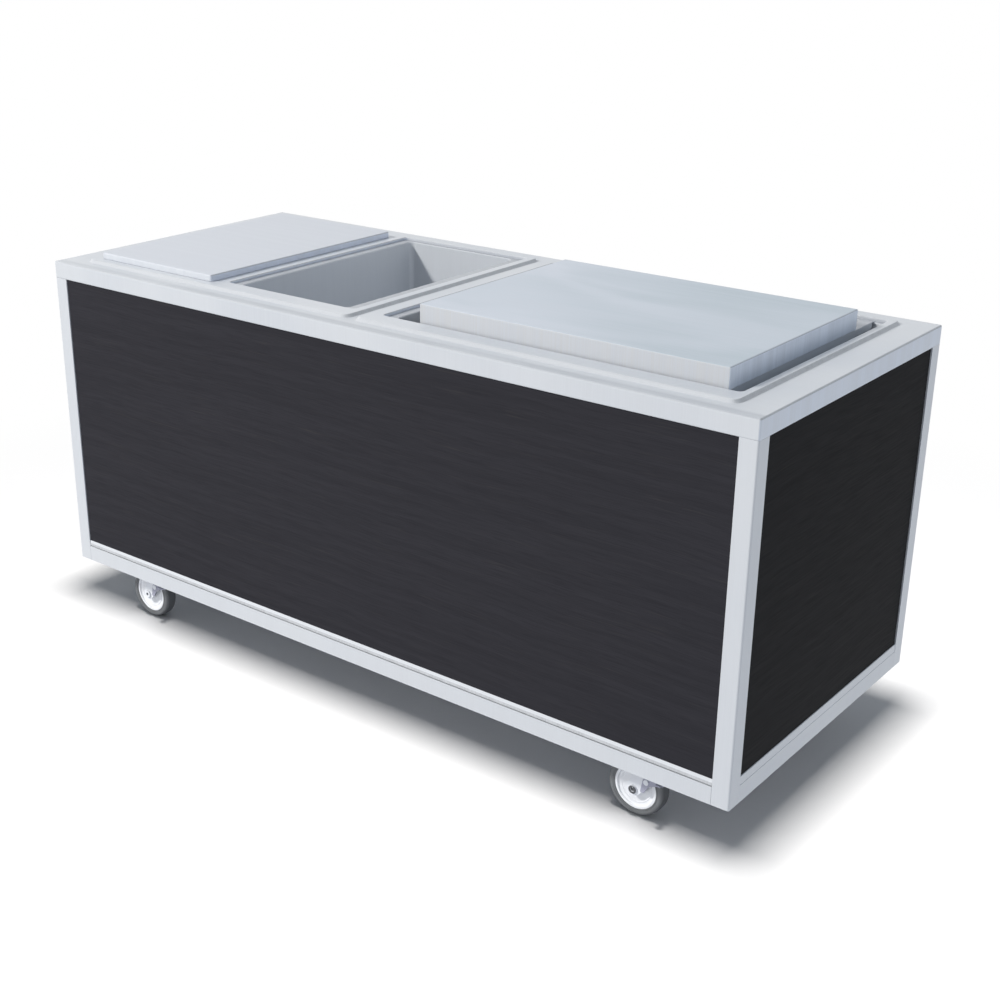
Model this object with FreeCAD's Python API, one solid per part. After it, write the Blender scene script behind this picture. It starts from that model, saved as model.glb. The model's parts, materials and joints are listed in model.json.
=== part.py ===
"""Mobile salad bar: welded tube base on four swivel casters, three ice-cooled wells in a formed counter.

Millimetres. Origin on the floor under the middle of the body, +X along the counter, -Y the guests' side, +Z up.
"""
import FreeCAD, Part
import math
import os

V = FreeCAD.Vector
UP = V(0, 0, 1)

# ---------------------------------------------------------------- overall sizes
body_length = 1850.0
body_depth = 765.0
counter_height = 912.0          # floor to the flat of the counter

# ---------------------------------------------------------------- sheet and tube stock
tube_width = 38.0
tube_wall = 1.6
tube_round = 3.0
corner_round = 4.0
counter_gauge = 1.5
liner_gauge = 1.2
casing_gauge = 1.0
deck_gauge = 1.5
seat_gap = 0.3                  # left between separate pieces that rest on each other

# ---------------------------------------------------------------- counter and well rims
apron_height = 39.0
rim_height = 7.0
rim_slope = 13.0
rim_corner = 24.0
rim_soft = 3.0
rim_foot_y = 38.0               # body face to the foot of the rim, front and rear
rim_foot_x = 62.0               # the same at the two ends
rim_land_front = 41.5           # flat top of the rim in front of the openings
rim_land_rear = 11.0
rim_land_end = 12.0
gap_between_rims = 7.0
middle_well_land = 16.0
right_well_land = 29.0
opening_corner = 10.0

# ---------------------------------------------------------------- wells
middle_well_width = 372.0
ledge_front = 18.0
ledge_rear = 8.0
ledge_x = 22.0                  # ledges at its two ends
left_ledge_x = 15.0             # the same in the well under the flat lid
middle_ledge_right = 36.0
right_ledge_end = 9.0           # at the counter's right end
well_deep = 205.0
well_draft = 4.0                # how far each wall leans in on its way down
well_corner = 14.0
well_bottom_round = 12.0
flange_under = 8.0              # the well flange reaches this far under the rim
foam_side = 19.0
foam_bottom = 26.0

# ---------------------------------------------------------------- drains
drain_hole_radius = 20.0
strainer_radius = 29.0
strainer_thick = 2.0
strainer_slots = 3
strainer_slot_width = 3.6
drain_pipe_radius = 13.3
drain_pipe_bore = 10.5
drain_pipe_drop = 34.0          # below the lock nut, down to the valve
drain_pipe_start = 12.0         # the pipe's top end, below the well floor
lock_nut_flats = 52.0
lock_nut_thick = 10.0
valve_length = 62.0
valve_end_length = 14.88
valve_ball_radius = 23.0
valve_hex_flats = 36.0
valve_neck = 4.0                # the stem's seat stands this far off the ball, and around the stem
outlet_radius = 12.5
outlet_wall = 3.0
outlet_length = 22.0
stem_radius = 4.5
stem_reach = 16.0
handle_length = 92.0
handle_width = 17.0
handle_thick = 3.0

# ---------------------------------------------------------------- lids
left_lid_width = 370.0
left_lid_depth = 604.5
left_lid_height = 15.0          # above the rim it rests on
left_lid_from_end = 19.0        # rim's slope to the lid, at the end and in front
left_lid_from_front = 17.0
left_lid_lap = 14.0             # how far the lid covers the rim, all round its opening
lid_to_middle_well = 29.0
left_lid_gauge = 1.5
left_lid_corner = 5.0
left_lid_edge = 2.5
lid_plug_drop = 19.0
lid_plug_gap = 4.0
cover_gap_left = 72.0           # deep wall of the well to the cover
cover_gap_right = 18.0
cover_gap_rear = 85.5
cover_lap_front = 12.5          # the cover's front wall stands this far over the ledge
cover_height = 43.0
cover_gauge = 1.5
cover_hem = 10.0
cover_corner = 2.5
cover_edge = 1.8
bar_width = 26.0
bar_drop = 16.0
bar_gauge = 1.5
bar_end_gap = 3.0
bar_count = 3

# ---------------------------------------------------------------- panels and storage
panel_thick = 12.0
panel_recess = 3.0
retainer_gap = 2.2
retainer_height = 13.5
side_retainer_height = 18.0
retainer_thick = 2.4
retainer_flat = 3.0             # upright part of the front strip below its bevel
retainer_edge = 0.8             # what is left of the strip at its upper edge
shelf_level = 250.0             # above the underside of the body
shelf_fold = 24.0
shelf_gauge = 1.2
cleat_leg = 22.0
cleat_gauge = 2.0
divider_gauge = 1.5
divider_fold = 20.0
brace_gap = 0.5                 # flat brace to the well flange on each side of it

# ---------------------------------------------------------------- casters
caster_inset_x = 202.0          # swivel axis from the end of the body
caster_inset_y = 102.0
wheel_radius = 63.5
wheel_width = 32.0
wheel_trail = 48.0
tyre_shoulder = 8.0
tyre_depth = 15.0
hub_inset = 1.5
hub_dish = 4.0
hub_boss_radius = 13.0
axle_radius = 6.0
running_gap = 0.05
plate_recess = 5.0              # plate top above the underside of the body
plate_length = 92.0
plate_width = 68.0
plate_thick = 4.0
plate_corner = 8.0
bolt_spacing_x = 70.0
bolt_spacing_y = 46.0
bolt_radius = 4.0
bolt_flats = 13.0
bolt_head_thick = 5.3
bolt_nut_thick = 6.5
bolt_end = 10.0                 # shank beyond the channel's web
bolt_hole_gap = 0.5
race_radius = 27.0
race_taper = 3.0
race_depth = 7.0
fork_race_depth = 5.2
kingpin_radius = 6.0
kingpin_head_radius = 10.0
kingpin_head_thick = 5.0
crown_thick = 3.5
crown_over_tyre = 10.0
leg_thick = 3.5
leg_gap = 3.5                   # tyre to fork leg
leg_foot_radius = 15.0
leg_top_back = 38.0             # leg's reach at the crown, behind and ahead of the swivel axis
leg_top_front = 27.0
leg_shoulder = 14.0
axle_head_radius = 9.0
axle_head_thick = 4.0
axle_socket_radius = 4.2
axle_socket_depth = 2.5
axle_nut_flats = 19.0
axle_nut_thick = 7.0
axle_end = 9.0                  # shank beyond the inner leg
channel_width = 110.0
channel_gauge = 3.0
post_cap = 2.0                  # plate that closes each corner tube's foot
brake_pivot_x = 31.0            # from the axle
brake_pivot_z = 28.0
brake_thick = 3.0
brake_eye_radius = 9.0
brake_pin_radius = 3.5
brake_rivet_radius = 6.0
brake_rivet_thick = 2.0
brake_pad_width = 16.0

# ---------------------------------------------------------------- places worked out once
x_left, x_right = -body_length / 2, body_length / 2
y_front, y_rear = -body_depth / 2, body_depth / 2
sheet_under = counter_height - counter_gauge
rim_top = counter_height + rim_height
rim_under = rim_top - counter_gauge
apron_bottom = counter_height - apron_height
hub_radius = wheel_radius - tyre_depth
crown_bottom = 2 * wheel_radius + crown_over_tyre
crown_top = crown_bottom + crown_thick
fork_race_top = crown_top + fork_race_depth
plate_bottom = fork_race_top + seat_gap + race_depth
plate_top = plate_bottom + plate_thick
floor_gap = plate_top - plate_recess    # floor to the underside of the body, set by the casters
lower_rail_top = floor_gap + tube_width
deck_top = lower_rail_top + deck_gauge
panel_back = panel_recess + panel_thick
rail_inset = counter_gauge + seat_gap
upper_rail_width = tube_width - rail_inset

opening_front = y_front + rim_foot_y + rim_slope + rim_land_front
opening_rear = y_rear - rim_foot_y - rim_slope - rim_land_rear
lid_x0 = x_left + rim_foot_x + rim_slope + left_lid_from_end
lid_x1 = lid_x0 + left_lid_width
lid_y0 = y_front + rim_foot_y + rim_slope + left_lid_from_front
lid_y1 = lid_y0 + left_lid_depth
middle_open_x0 = lid_x1 + lid_to_middle_well
middle_open_x1 = middle_open_x0 + middle_well_width
first_rim_end = middle_open_x1 + middle_well_land + rim_slope
second_rim_start = first_rim_end + gap_between_rims
right_open_x0 = second_rim_start + rim_slope + right_well_land
right_open_x1 = x_right - rim_foot_x - rim_slope - rim_land_end

# outlines seen from above as (x0, x1, y0, y1)
OPENINGS = {
    "left": (lid_x0 + left_lid_lap, lid_x1 - left_lid_lap, lid_y0 + left_lid_lap, lid_y1 - left_lid_lap),
    "middle": (middle_open_x0, middle_open_x1, opening_front, opening_rear),
    "right": (right_open_x0, right_open_x1, opening_front, opening_rear),
}
LEDGES = {
    "left": (left_ledge_x, left_ledge_x),
    "middle": (ledge_x, middle_ledge_right),
    "right": (ledge_x, right_ledge_end),
}
DEEPS = {name: (x0 + LEDGES[name][0], x1 - LEDGES[name][1], y0 + ledge_front, y1 - ledge_rear)
         for name, (x0, x1, y0, y1) in OPENINGS.items()}
right_deep_x0, right_deep_x1, right_deep_y0, right_deep_y1 = DEEPS["right"]
well_floor = counter_height - well_deep
wall_build = liner_gauge + foam_side + casing_gauge
casing_bottom = well_floor - liner_gauge - foam_bottom - casing_gauge
flange_under_z = counter_height - liner_gauge

leg_inside = wheel_width / 2 + leg_gap
leg_outside = leg_inside + leg_thick
caster_x = body_length / 2 - caster_inset_x
caster_y = body_depth / 2 - caster_inset_y
CASTERS = {
    "front_left": (-caster_x, -caster_y),
    "front_right": (caster_x, -caster_y),
    "rear_left": (-caster_x, caster_y),
    "rear_right": (caster_x, caster_y),
}

os.makedirs("parts", exist_ok=True)


# ---------------------------------------------------------------- making helpers
def keep(node, shape):
    """Write one named node."""
    shape.removeSplitter().exportStep(f"parts/{node}.step")


def group(solids):
    """Like pieces that share one node, still separate solids."""
    return Part.makeCompound(solids)


def block(x0, x1, y0, y1, z0, z1):
    return Part.makeBox(x1 - x0, y1 - y0, z1 - z0, V(x0, y0, z0))


def round_wire(x0, x1, y0, y1, z, radius):
    """Closed rectangle with arc corners, counter-clockwise seen from above."""
    r = radius
    corners = [(x1 - r, y0 + r, -90), (x1 - r, y1 - r, 0), (x0 + r, y1 - r, 90), (x0 + r, y0 + r, 180)]
    arcs = [Part.Arc(*(V(cx + r * math.cos(math.radians(a + step)), cy + r * math.sin(math.radians(a + step)), z)
                       for step in (0, 45, 90))).toShape() for cx, cy, a in corners]
    edges = []
    for arc, following in zip(arcs, arcs[1:] + arcs[:1]):
        edges.append(arc)
        edges.append(Part.LineSegment(arc.Vertexes[-1].Point, following.Vertexes[0].Point).toShape())
    return Part.Wire(edges)


def round_slab(x0, x1, y0, y1, z0, z1, radius):
    return Part.Face(round_wire(x0, x1, y0, y1, z0, radius)).extrude(V(0, 0, z1 - z0))


def tapered_block(x0, x1, y0, y1, z0, z1, radius_low, radius_high, inset_low, inset_high):
    """Rounded block whose walls lean from one inset at the bottom to another at the top."""
    wires = [round_wire(x0 + d, x1 - d, y0 + d, y1 - d, z, r)
             for d, z, r in ((inset_low, z0, radius_low), (inset_high, z1, radius_high))]
    return Part.makeLoft(wires, True, True)


def rod(x, y, z, radius, length, axis=UP):
    return Part.makeCylinder(radius, length, V(x, y, z), axis)


def hexagon_bar(x, y, z, flats, length):
    reach = flats / math.sqrt(3)
    points = [V(x + reach * math.cos(math.radians(60 * k)), y + reach * math.sin(math.radians(60 * k)), z)
              for k in range(7)]
    return Part.Face(Part.makePolygon(points)).extrude(V(0, 0, length))


def edges_at(shape, z):
    """Edges that lie wholly in the level plane z."""
    return [e for e in shape.Edges if all(abs(v.Point.z - z) < 1e-4 for v in e.Vertexes)
            and abs(e.BoundBox.ZLength) < 1e-4]


def upright_edges(shape, points):
    """Vertical edges that stand on the given (x, y) points."""
    return [e for e in shape.Edges if len(e.Vertexes) == 2 and e.BoundBox.XLength < 1e-4
            and e.BoundBox.YLength < 1e-4
            and any(math.hypot(e.Vertexes[0].X - px, e.Vertexes[0].Y - py) < 1e-3 for px, py in points)]


def profile_y(points, y0, y1):
    """Closed outline of (x, z) points, pushed along Y."""
    corners = [V(x, y0, z) for x, z in points]
    return Part.Face(Part.makePolygon(corners + corners[:1])).extrude(V(0, y1 - y0, 0))


def profile_x(points, x0, x1):
    """Closed outline of (y, z) points, pushed along X."""
    corners = [V(x0, y, z) for y, z in points]
    return Part.Face(Part.makePolygon(corners + corners[:1])).extrude(V(x1 - x0, 0, 0))


def turned(points, x, z):
    """Closed outline of (radius, y) points, turned about a Y axis through (x, z)."""
    corners = [V(x, y, z + radius) for radius, y in points]
    face = Part.Face(Part.makePolygon(corners + corners[:1]))
    return face.revolve(V(x, 0, z), V(0, 1, 0), 360)


# ---------------------------------------------------------------- frame
def tube_along_x(x0, x1, y0, y1, z0, z1, rounding=0):
    """Rectangular tube along X; its four long edges are rounded where it isn't welded flush."""
    w = tube_wall
    solid = block(x0, x1, y0, y1, z0, z1)
    if rounding:
        solid = solid.makeFillet(rounding, [e for e in solid.Edges if e.BoundBox.XLength > (x1 - x0) / 2])
    return solid.cut(block(x0, x1, y0 + w, y1 - w, z0 + w, z1 - w))


def tube_along_y(x0, x1, y0, y1, z0, z1, rounding=0):
    w = tube_wall
    solid = block(x0, x1, y0, y1, z0, z1)
    if rounding:
        solid = solid.makeFillet(rounding, [e for e in solid.Edges if e.BoundBox.YLength > (y1 - y0) / 2])
    return solid.cut(block(x0 + w, x1 - w, y0, y1, z0 + w, z1 - w))


def post(side_x, side_y):
    """Square corner tube with a capped foot; only its outer corner is rounded, the welds are ground flat."""
    outer_x, outer_y = side_x * body_length / 2, side_y * body_depth / 2
    inner_x, inner_y = outer_x - side_x * tube_width, outer_y - side_y * tube_width
    x0, x1 = sorted((outer_x, inner_x))
    y0, y1 = sorted((outer_y, inner_y))
    solid = block(x0, x1, y0, y1, floor_gap, apron_bottom)
    solid = solid.makeFillet(corner_round, upright_edges(solid, [(outer_x, outer_y)]))
    w = tube_wall
    return solid.cut(round_slab(x0 + w, x1 - w, y0 + w, y1 - w, floor_gap + post_cap, apron_bottom,
                                corner_round))


def lower_rails():
    z0, z1 = floor_gap, lower_rail_top
    t = tube_width
    front = tube_along_x(x_left + t, x_right - t, y_front, y_front + t, z0, z1)
    rear = tube_along_x(x_left + t, x_right - t, y_rear - t, y_rear, z0, z1)
    left = tube_along_y(x_left, x_left + t, y_front + t, y_rear - t, z0, z1)
    right = tube_along_y(x_right - t, x_right, y_front + t, y_rear - t, z0, z1)
    return group([front, rear, left, right])


def upper_rails():
    z0, z1 = apron_bottom, sheet_under
    i, t, w = rail_inset, tube_width, upper_rail_width
    x0, x1 = x_left + i + corner_round, x_right - i - corner_round
    front = tube_along_x(x0, x1, y_front + i, y_front + i + w, z0, z1, tube_round)
    rear = tube_along_x(x0, x1, y_rear - i - w, y_rear - i, z0, z1, tube_round)
    left = tube_along_y(x_left + i, x_left + i + w, y_front + t, y_rear - t, z0, z1, tube_round)
    right = tube_along_y(x_right - i - w, x_right - i, y_front + t, y_rear - t, z0, z1, tube_round)
    return group([front, rear, left, right])


def counter_braces():
    """A flat bar that props the land between the first two wells, and a tube between the two rims."""
    y0, y1 = y_front + tube_width, y_rear - tube_width
    high_y0 = y_front + max(rim_foot_y + 2 * rim_slope, tube_width)
    high_y1 = y_rear - max(rim_foot_y + 2 * rim_slope, tube_width)
    side = flange_under + brace_gap
    outline = [(y0, apron_bottom), (y1, apron_bottom), (y1, sheet_under), (high_y1, sheet_under),
               (high_y1, rim_under - seat_gap), (high_y0, rim_under - seat_gap), (high_y0, sheet_under),
               (y0, sheet_under)]
    flat = profile_x(outline, OPENINGS["left"][1] + side, OPENINGS["middle"][0] - side)
    tube_x = divider_x()
    half = upper_rail_width / 2
    tube = tube_along_y(tube_x - half, tube_x + half, y0, y1, apron_bottom, sheet_under)
    return group([flat, tube])


def divider_x():
    """Middle of the gap between the casings of the second and third wells."""
    return (DEEPS["middle"][1] + right_deep_x0) / 2


def caster_channels():
    """Two channels under the deck, front to rear, that spread the casters' load."""
    channels = []
    for x in (-caster_x, caster_x):
        x0, x1 = x - channel_width / 2, x + channel_width / 2
        y0, y1 = y_front + tube_width, y_rear - tube_width
        g = channel_gauge
        channel = block(x0, x1, y0, y1, plate_top, lower_rail_top)
        channel = channel.cut(block(x0 + g, x1 - g, y0, y1, plate_top + g, lower_rail_top))
        for cx, cy in CASTERS.values():
            if abs(cx - x) < 1e-6:
                for bx, by in bolt_places(cx, cy):
                    hole = rod(bx, by, plate_top, bolt_radius + bolt_hole_gap, g)
                    channel = channel.cut(hole)
        channels.append(channel)
    return group(channels)


# ---------------------------------------------------------------- counter
def rim_block(x0, x1, lift, inset):
    """One raised rim region; the hollow under it is the same form, one sheet lower and smaller."""
    y0, y1 = y_front + rim_foot_y, y_rear - rim_foot_y
    low = counter_height - lift
    high = rim_top - lift
    solid = tapered_block(x0 + inset, x1 - inset, y0 + inset, y1 - inset, low, high,
                          rim_corner, rim_corner - rim_slope, 0, rim_slope)
    return solid.makeFillet(rim_soft, edges_at(solid, high))


def opening_slab(outline, grow, z0, z1):
    x0, x1, y0, y1 = outline
    return round_slab(x0 - grow, x1 + grow, y0 - grow, y1 + grow, z0, z1, opening_corner + grow)


def counter_top():
    """Formed sheet: turned-down apron, two raised rims, three openings with turned-down lips."""
    corners = [(x, y) for x in (x_left, x_right) for y in (y_front, y_rear)]
    skin = block(x_left, x_right, y_front, y_rear, apron_bottom, counter_height)
    skin = skin.makeFillet(corner_round, upright_edges(skin, corners) + edges_at(skin, counter_height))
    g = counter_gauge
    hollow = round_slab(x_left + g, x_right - g, y_front + g, y_rear - g, apron_bottom, sheet_under,
                        corner_round - g)
    hollow = hollow.makeFillet(corner_round - g - 0.01, edges_at(hollow, sheet_under))
    for x0, x1 in ((x_left + rim_foot_x, first_rim_end), (second_rim_start, x_right - rim_foot_x)):
        skin = skin.fuse(rim_block(x0, x1, 0, 0))
        hollow = hollow.fuse(rim_block(x0, x1, g, g * 0.4))
    top = skin.cut(hollow)
    for outline in OPENINGS.values():
        lip = opening_slab(outline, g, counter_height, rim_top - g / 2)
        top = top.fuse(lip)
        hole = opening_slab(outline, 0, apron_bottom, rim_top + 1)
        top = top.cut(hole)
    return top


# ---------------------------------------------------------------- wells
def deep_form(outline, grow, bottom, top):
    """The drafted, round-cornered inside form of a well, grown outwards for the pieces around it."""
    x0, x1, y0, y1 = outline
    radius = well_corner + grow
    solid = tapered_block(x0 - grow, x1 + grow, y0 - grow, y1 + grow, bottom, top,
                          radius - well_draft / 2, radius, well_draft, 0)
    return solid.makeFillet(well_bottom_round, edges_at(solid, bottom))


def straight_form(outline, grow, bottom, top):
    x0, x1, y0, y1 = outline
    return round_slab(x0 - grow, x1 + grow, y0 - grow, y1 + grow, bottom, top, well_corner)


def drain_hole(name):
    x, y = drain_places()[name]
    return rod(x, y, casing_bottom - 1, drain_hole_radius, well_deep)


def well_liner(name):
    """Drawn pan with its ledge flange, which reaches under the rim of the counter."""
    flange = opening_slab(OPENINGS[name], flange_under, flange_under_z, counter_height)
    pan = deep_form(DEEPS[name], liner_gauge, well_floor - liner_gauge, flange_under_z)
    inside = deep_form(DEEPS[name], 0, well_floor, counter_height)
    return flange.fuse(pan).cut(inside).cut(drain_hole(name))


def well_foam(name):
    """Foam that fills the room between the liner and its casing."""
    outer = straight_form(DEEPS[name], wall_build - casing_gauge, casing_bottom + casing_gauge, flange_under_z)
    pan = deep_form(DEEPS[name], liner_gauge, well_floor - liner_gauge, flange_under_z)
    return outer.cut(pan).cut(drain_hole(name))


def well_casing(name):
    """Open sheet box around the foam; its walls end against the underside of the well flange."""
    outer = straight_form(DEEPS[name], wall_build, casing_bottom, flange_under_z)
    inner = straight_form(DEEPS[name], wall_build - casing_gauge, casing_bottom + casing_gauge, flange_under_z)
    return outer.cut(inner).cut(drain_hole(name))


# ---------------------------------------------------------------- drains
def drain_places():
    return {name: ((x0 + x1) / 2, (y0 + y1) / 2) for name, (x0, x1, y0, y1) in DEEPS.items()}


valve_top = casing_bottom - lock_nut_thick - drain_pipe_drop
valve_middle = valve_top - valve_length / 2
valve_bottom = valve_top - valve_length


def strainer(x, y):
    """Slotted drain seat on the well floor with its threaded tail, clamped by a nut under the casing."""
    seat = rod(x, y, well_floor, strainer_radius, strainer_thick)
    seat = seat.makeFillet(strainer_thick / 2, edges_at(seat, well_floor + strainer_thick))
    tail = rod(x, y, casing_bottom - lock_nut_thick, drain_hole_radius - seat_gap,
               well_floor - casing_bottom + lock_nut_thick)
    bore = rod(x, y, casing_bottom - lock_nut_thick, drain_pipe_radius, well_floor - casing_bottom
               + lock_nut_thick)
    body = seat.fuse(tail.cut(bore))
    pitch, reach = 2 * strainer_slot_width, drain_pipe_radius * 0.8
    for k in range(strainer_slots):
        offset = (k - (strainer_slots - 1) / 2) * pitch
        length = math.sqrt(reach * reach - offset * offset)
        half = strainer_slot_width / 2
        body = body.cut(block(x - length, x + length, y + offset - half, y + offset + half,
                              well_floor - 1, well_floor + strainer_thick + 1))
    return body


def lock_nut(x, y):
    nut = hexagon_bar(x, y, casing_bottom - lock_nut_thick, lock_nut_flats, lock_nut_thick)
    return nut.cut(rod(x, y, casing_bottom - lock_nut_thick, drain_hole_radius - seat_gap, lock_nut_thick))


def drain_pipe(x, y):
    top = well_floor - drain_pipe_start
    pipe = rod(x, y, valve_top, drain_pipe_radius - 0.01, top - valve_top)
    return pipe.cut(rod(x, y, valve_top, drain_pipe_bore, top - valve_top))


def drain_valve(x, y):
    """Ball valve: two hexagon ends on a round body, a stem towards the rear, a plain hose outlet below."""
    end = valve_end_length
    body = hexagon_bar(x, y, valve_top - end, valve_hex_flats, end)
    body = body.fuse(hexagon_bar(x, y, valve_bottom, valve_hex_flats, end))
    ball = Part.makeSphere(valve_ball_radius, V(x, y, valve_middle))
    body = body.fuse(ball)
    body = body.fuse(rod(x, y, valve_bottom - outlet_length, outlet_radius, outlet_length))
    body = body.fuse(rod(x, y, valve_middle, stem_radius + valve_neck, valve_ball_radius + valve_neck,
                         V(0, 1, 0)))
    body = body.fuse(rod(x, y, valve_middle, stem_radius, valve_ball_radius + stem_reach, V(0, 1, 0)))
    return body.cut(rod(x, y, valve_bottom - outlet_length, outlet_radius - outlet_wall,
                        valve_length + outlet_length))


def valve_handle(x, y):
    """Lever that lies across the pipe when shut and along it when open."""
    y0 = y + valve_ball_radius + valve_neck + seat_gap
    y1 = y0 + handle_thick
    w = handle_width / 2
    lever = block(x, x + handle_length - w, y0, y1, valve_middle - w, valve_middle + w)
    lever = lever.fuse(rod(x, y0, valve_middle, w + 2, handle_thick, V(0, 1, 0)))
    lever = lever.fuse(rod(x + handle_length - w, y0, valve_middle, w, handle_thick, V(0, 1, 0)))
    hub = rod(x, y0, valve_middle, stem_radius + handle_thick, stem_reach - valve_neck - seat_gap, V(0, 1, 0))
    lever = lever.fuse(hub)
    return lever.cut(rod(x, y0 - 1, valve_middle, stem_radius + running_gap, stem_reach + 5, V(0, 1, 0)))


# ---------------------------------------------------------------- lids
def left_lid():
    """Thick insulated lid: a folded skin, and a plug board under it that keeps it in the opening."""
    z0, z1 = rim_top + seat_gap, rim_top + left_lid_height
    g = left_lid_gauge
    skin = round_slab(lid_x0, lid_x1, lid_y0, lid_y1, z0, z1, left_lid_corner)
    skin = skin.makeFillet(left_lid_edge, edges_at(skin, z1))
    room = round_slab(lid_x0 + g, lid_x1 - g, lid_y0 + g, lid_y1 - g, z0, z1 - g, left_lid_corner - g)
    x0, x1, y0, y1 = DEEPS["left"]
    gap = lid_plug_gap
    drop = tapered_block(x0 + gap, x1 - gap, y0 + gap, y1 - gap, z0 - lid_plug_drop, z0, 10.0, 12.0, 3.0, 0.0)
    return skin.cut(room), room.fuse(drop)


cover_bottom = counter_height + bar_gauge + seat_gap
cover_x0 = right_deep_x0 + cover_gap_left
cover_x1 = right_deep_x1 - cover_gap_right
cover_y0 = right_deep_y0 - cover_lap_front
cover_y1 = right_deep_y1 - cover_gap_rear


def right_cover():
    """Folded box cover with an inward hem, open below."""
    g = cover_gauge
    top = cover_bottom + cover_height
    shell = round_slab(cover_x0, cover_x1, cover_y0, cover_y1, cover_bottom, top, cover_corner)
    shell = shell.makeFillet(cover_edge, edges_at(shell, top))
    inside = round_slab(cover_x0 + g, cover_x1 - g, cover_y0 + g, cover_y1 - g, cover_bottom + g, top - g,
                        cover_corner - g)
    mouth = block(cover_x0 + cover_hem, cover_x1 - cover_hem, cover_y0 + cover_hem, cover_y1 - cover_hem,
                  cover_bottom - 1, cover_bottom + g + 1)
    return shell.cut(inside).cut(mouth)


def adapter_bars():
    """Pan bars from ledge to ledge of the right well: a channel below, two thin end tabs above."""
    bars = []
    first = cover_x0 + bar_width / 2 + 2
    last = cover_x1 - bar_width / 2 - 2
    g = bar_gauge
    for k in range(bar_count):
        x = first + (last - first) * k / (bar_count - 1)
        x0, x1 = x - bar_width / 2, x + bar_width / 2
        y0, y1 = opening_front + bar_end_gap, opening_rear - bar_end_gap
        strap = block(x0, x1, y0, y1, counter_height, counter_height + g)
        web_y0, web_y1 = right_deep_y0 + well_draft + 2, right_deep_y1 - well_draft - 2
        web = block(x0, x1, web_y0, web_y1, counter_height - bar_drop, counter_height + g)
        web = web.cut(block(x0 + g, x1 - g, web_y0, web_y1, counter_height - bar_drop, counter_height))
        bars.append(strap.fuse(web))
    return group(bars)


# ---------------------------------------------------------------- panels
def panel_along_x(y_face, inward):
    y0, y1 = sorted((y_face + inward * panel_recess, y_face + inward * panel_back))
    return block(x_left + tube_width + seat_gap, x_right - tube_width - seat_gap, y0, y1,
                 lower_rail_top + seat_gap, apron_bottom - seat_gap)


def panel_along_y(x_face, inward):
    x0, x1 = sorted((x_face + inward * panel_recess, x_face + inward * panel_back))
    return block(x0, x1, y_front + tube_width + seat_gap, y_rear - tube_width - seat_gap,
                 lower_rail_top + seat_gap, apron_bottom - seat_gap)


def front_retainer():
    """Bevelled strip on the panel's lower edge; the panel shows as a dark line under it."""
    z0 = lower_rail_top + retainer_gap
    z1 = z0 + retainer_height
    y_back = y_front + panel_recess
    points = [(y_back, z0), (y_back - retainer_thick, z0), (y_back - retainer_thick, z0 + retainer_flat),
              (y_back - retainer_edge, z1), (y_back, z1)]
    return profile_x(points, x_left + tube_width + seat_gap, x_right - tube_width - seat_gap)


def side_retainer(x_face, inward):
    z0 = lower_rail_top + seat_gap
    z1 = z0 + side_retainer_height
    x0, x1 = sorted((x_face + inward * (panel_recess - retainer_thick), x_face + inward * panel_recess))
    strip = block(x0, x1, y_front + tube_width + seat_gap, y_rear - tube_width - seat_gap, z0, z1)
    x_out = x_face + inward * (panel_recess - retainer_thick)
    long_edges = [e for e in strip.Edges if all(abs(v.X - x_out) < 1e-4 and abs(v.Z - z1) < 1e-4
                                                for v in e.Vertexes)]
    return strip.makeFillet(1.2, long_edges)


# ---------------------------------------------------------------- storage
def bottom_deck():
    x0, x1 = x_left + panel_back + seat_gap, x_right - panel_back - seat_gap
    y0, y1 = y_front + panel_back + seat_gap, y_rear - 1.5
    deck = block(x0, x1, y0, y1, lower_rail_top, deck_top)
    notch = tube_width + seat_gap
    for sx in (-1, 1):
        for sy in (-1, 1):
            cx, cy = sx * body_length / 2, sy * body_depth / 2
            nx = sorted((cx, cx - sx * notch))
            ny = sorted((cy, cy - sy * notch))
            deck = deck.cut(block(nx[0], nx[1], ny[0], ny[1], lower_rail_top - 1, deck_top + 1))
    return deck


def divider_panel():
    """Folded partition that carries the shelves' inner ends and props the counter brace."""
    x = divider_x()
    g, fold = divider_gauge, divider_fold
    y0, y1 = y_front + panel_back + seat_gap, y_rear - tube_width / 2
    z0, z1 = deck_top, apron_bottom
    rear_y0 = y_rear - tube_width - seat_gap
    sheet = block(x - g / 2, x + g / 2, y0, rear_y0, z0, z1)
    sheet = sheet.fuse(block(x - g / 2, x + fold, y0, rear_y0, z0, z0 + g))
    sheet = sheet.fuse(block(x - g / 2, x + fold, y0 + tube_width, rear_y0, z1 - g, z1))
    stile = block(x - fold, x + fold, rear_y0 - tube_width, rear_y0, z0, z1)
    stile = stile.cut(block(x - fold + g, x + fold - g, rear_y0 - tube_width, rear_y0 - g, z0, z1))
    return sheet.fuse(stile)


shelf_top = floor_gap + shelf_level
shelf_y0 = y_front + tube_width + 2
shelf_y1 = y_rear - tube_width - 2


def shelf_spans():
    """Left and right shelf, from each end panel to the partition."""
    x = divider_x()
    return {"left": (x_left + panel_back + 1, x - divider_gauge / 2 - 1, x - divider_fold - 1),
            "right": (x + divider_gauge / 2 + 1, x_right - panel_back - 1, x + divider_fold + 1)}


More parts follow.
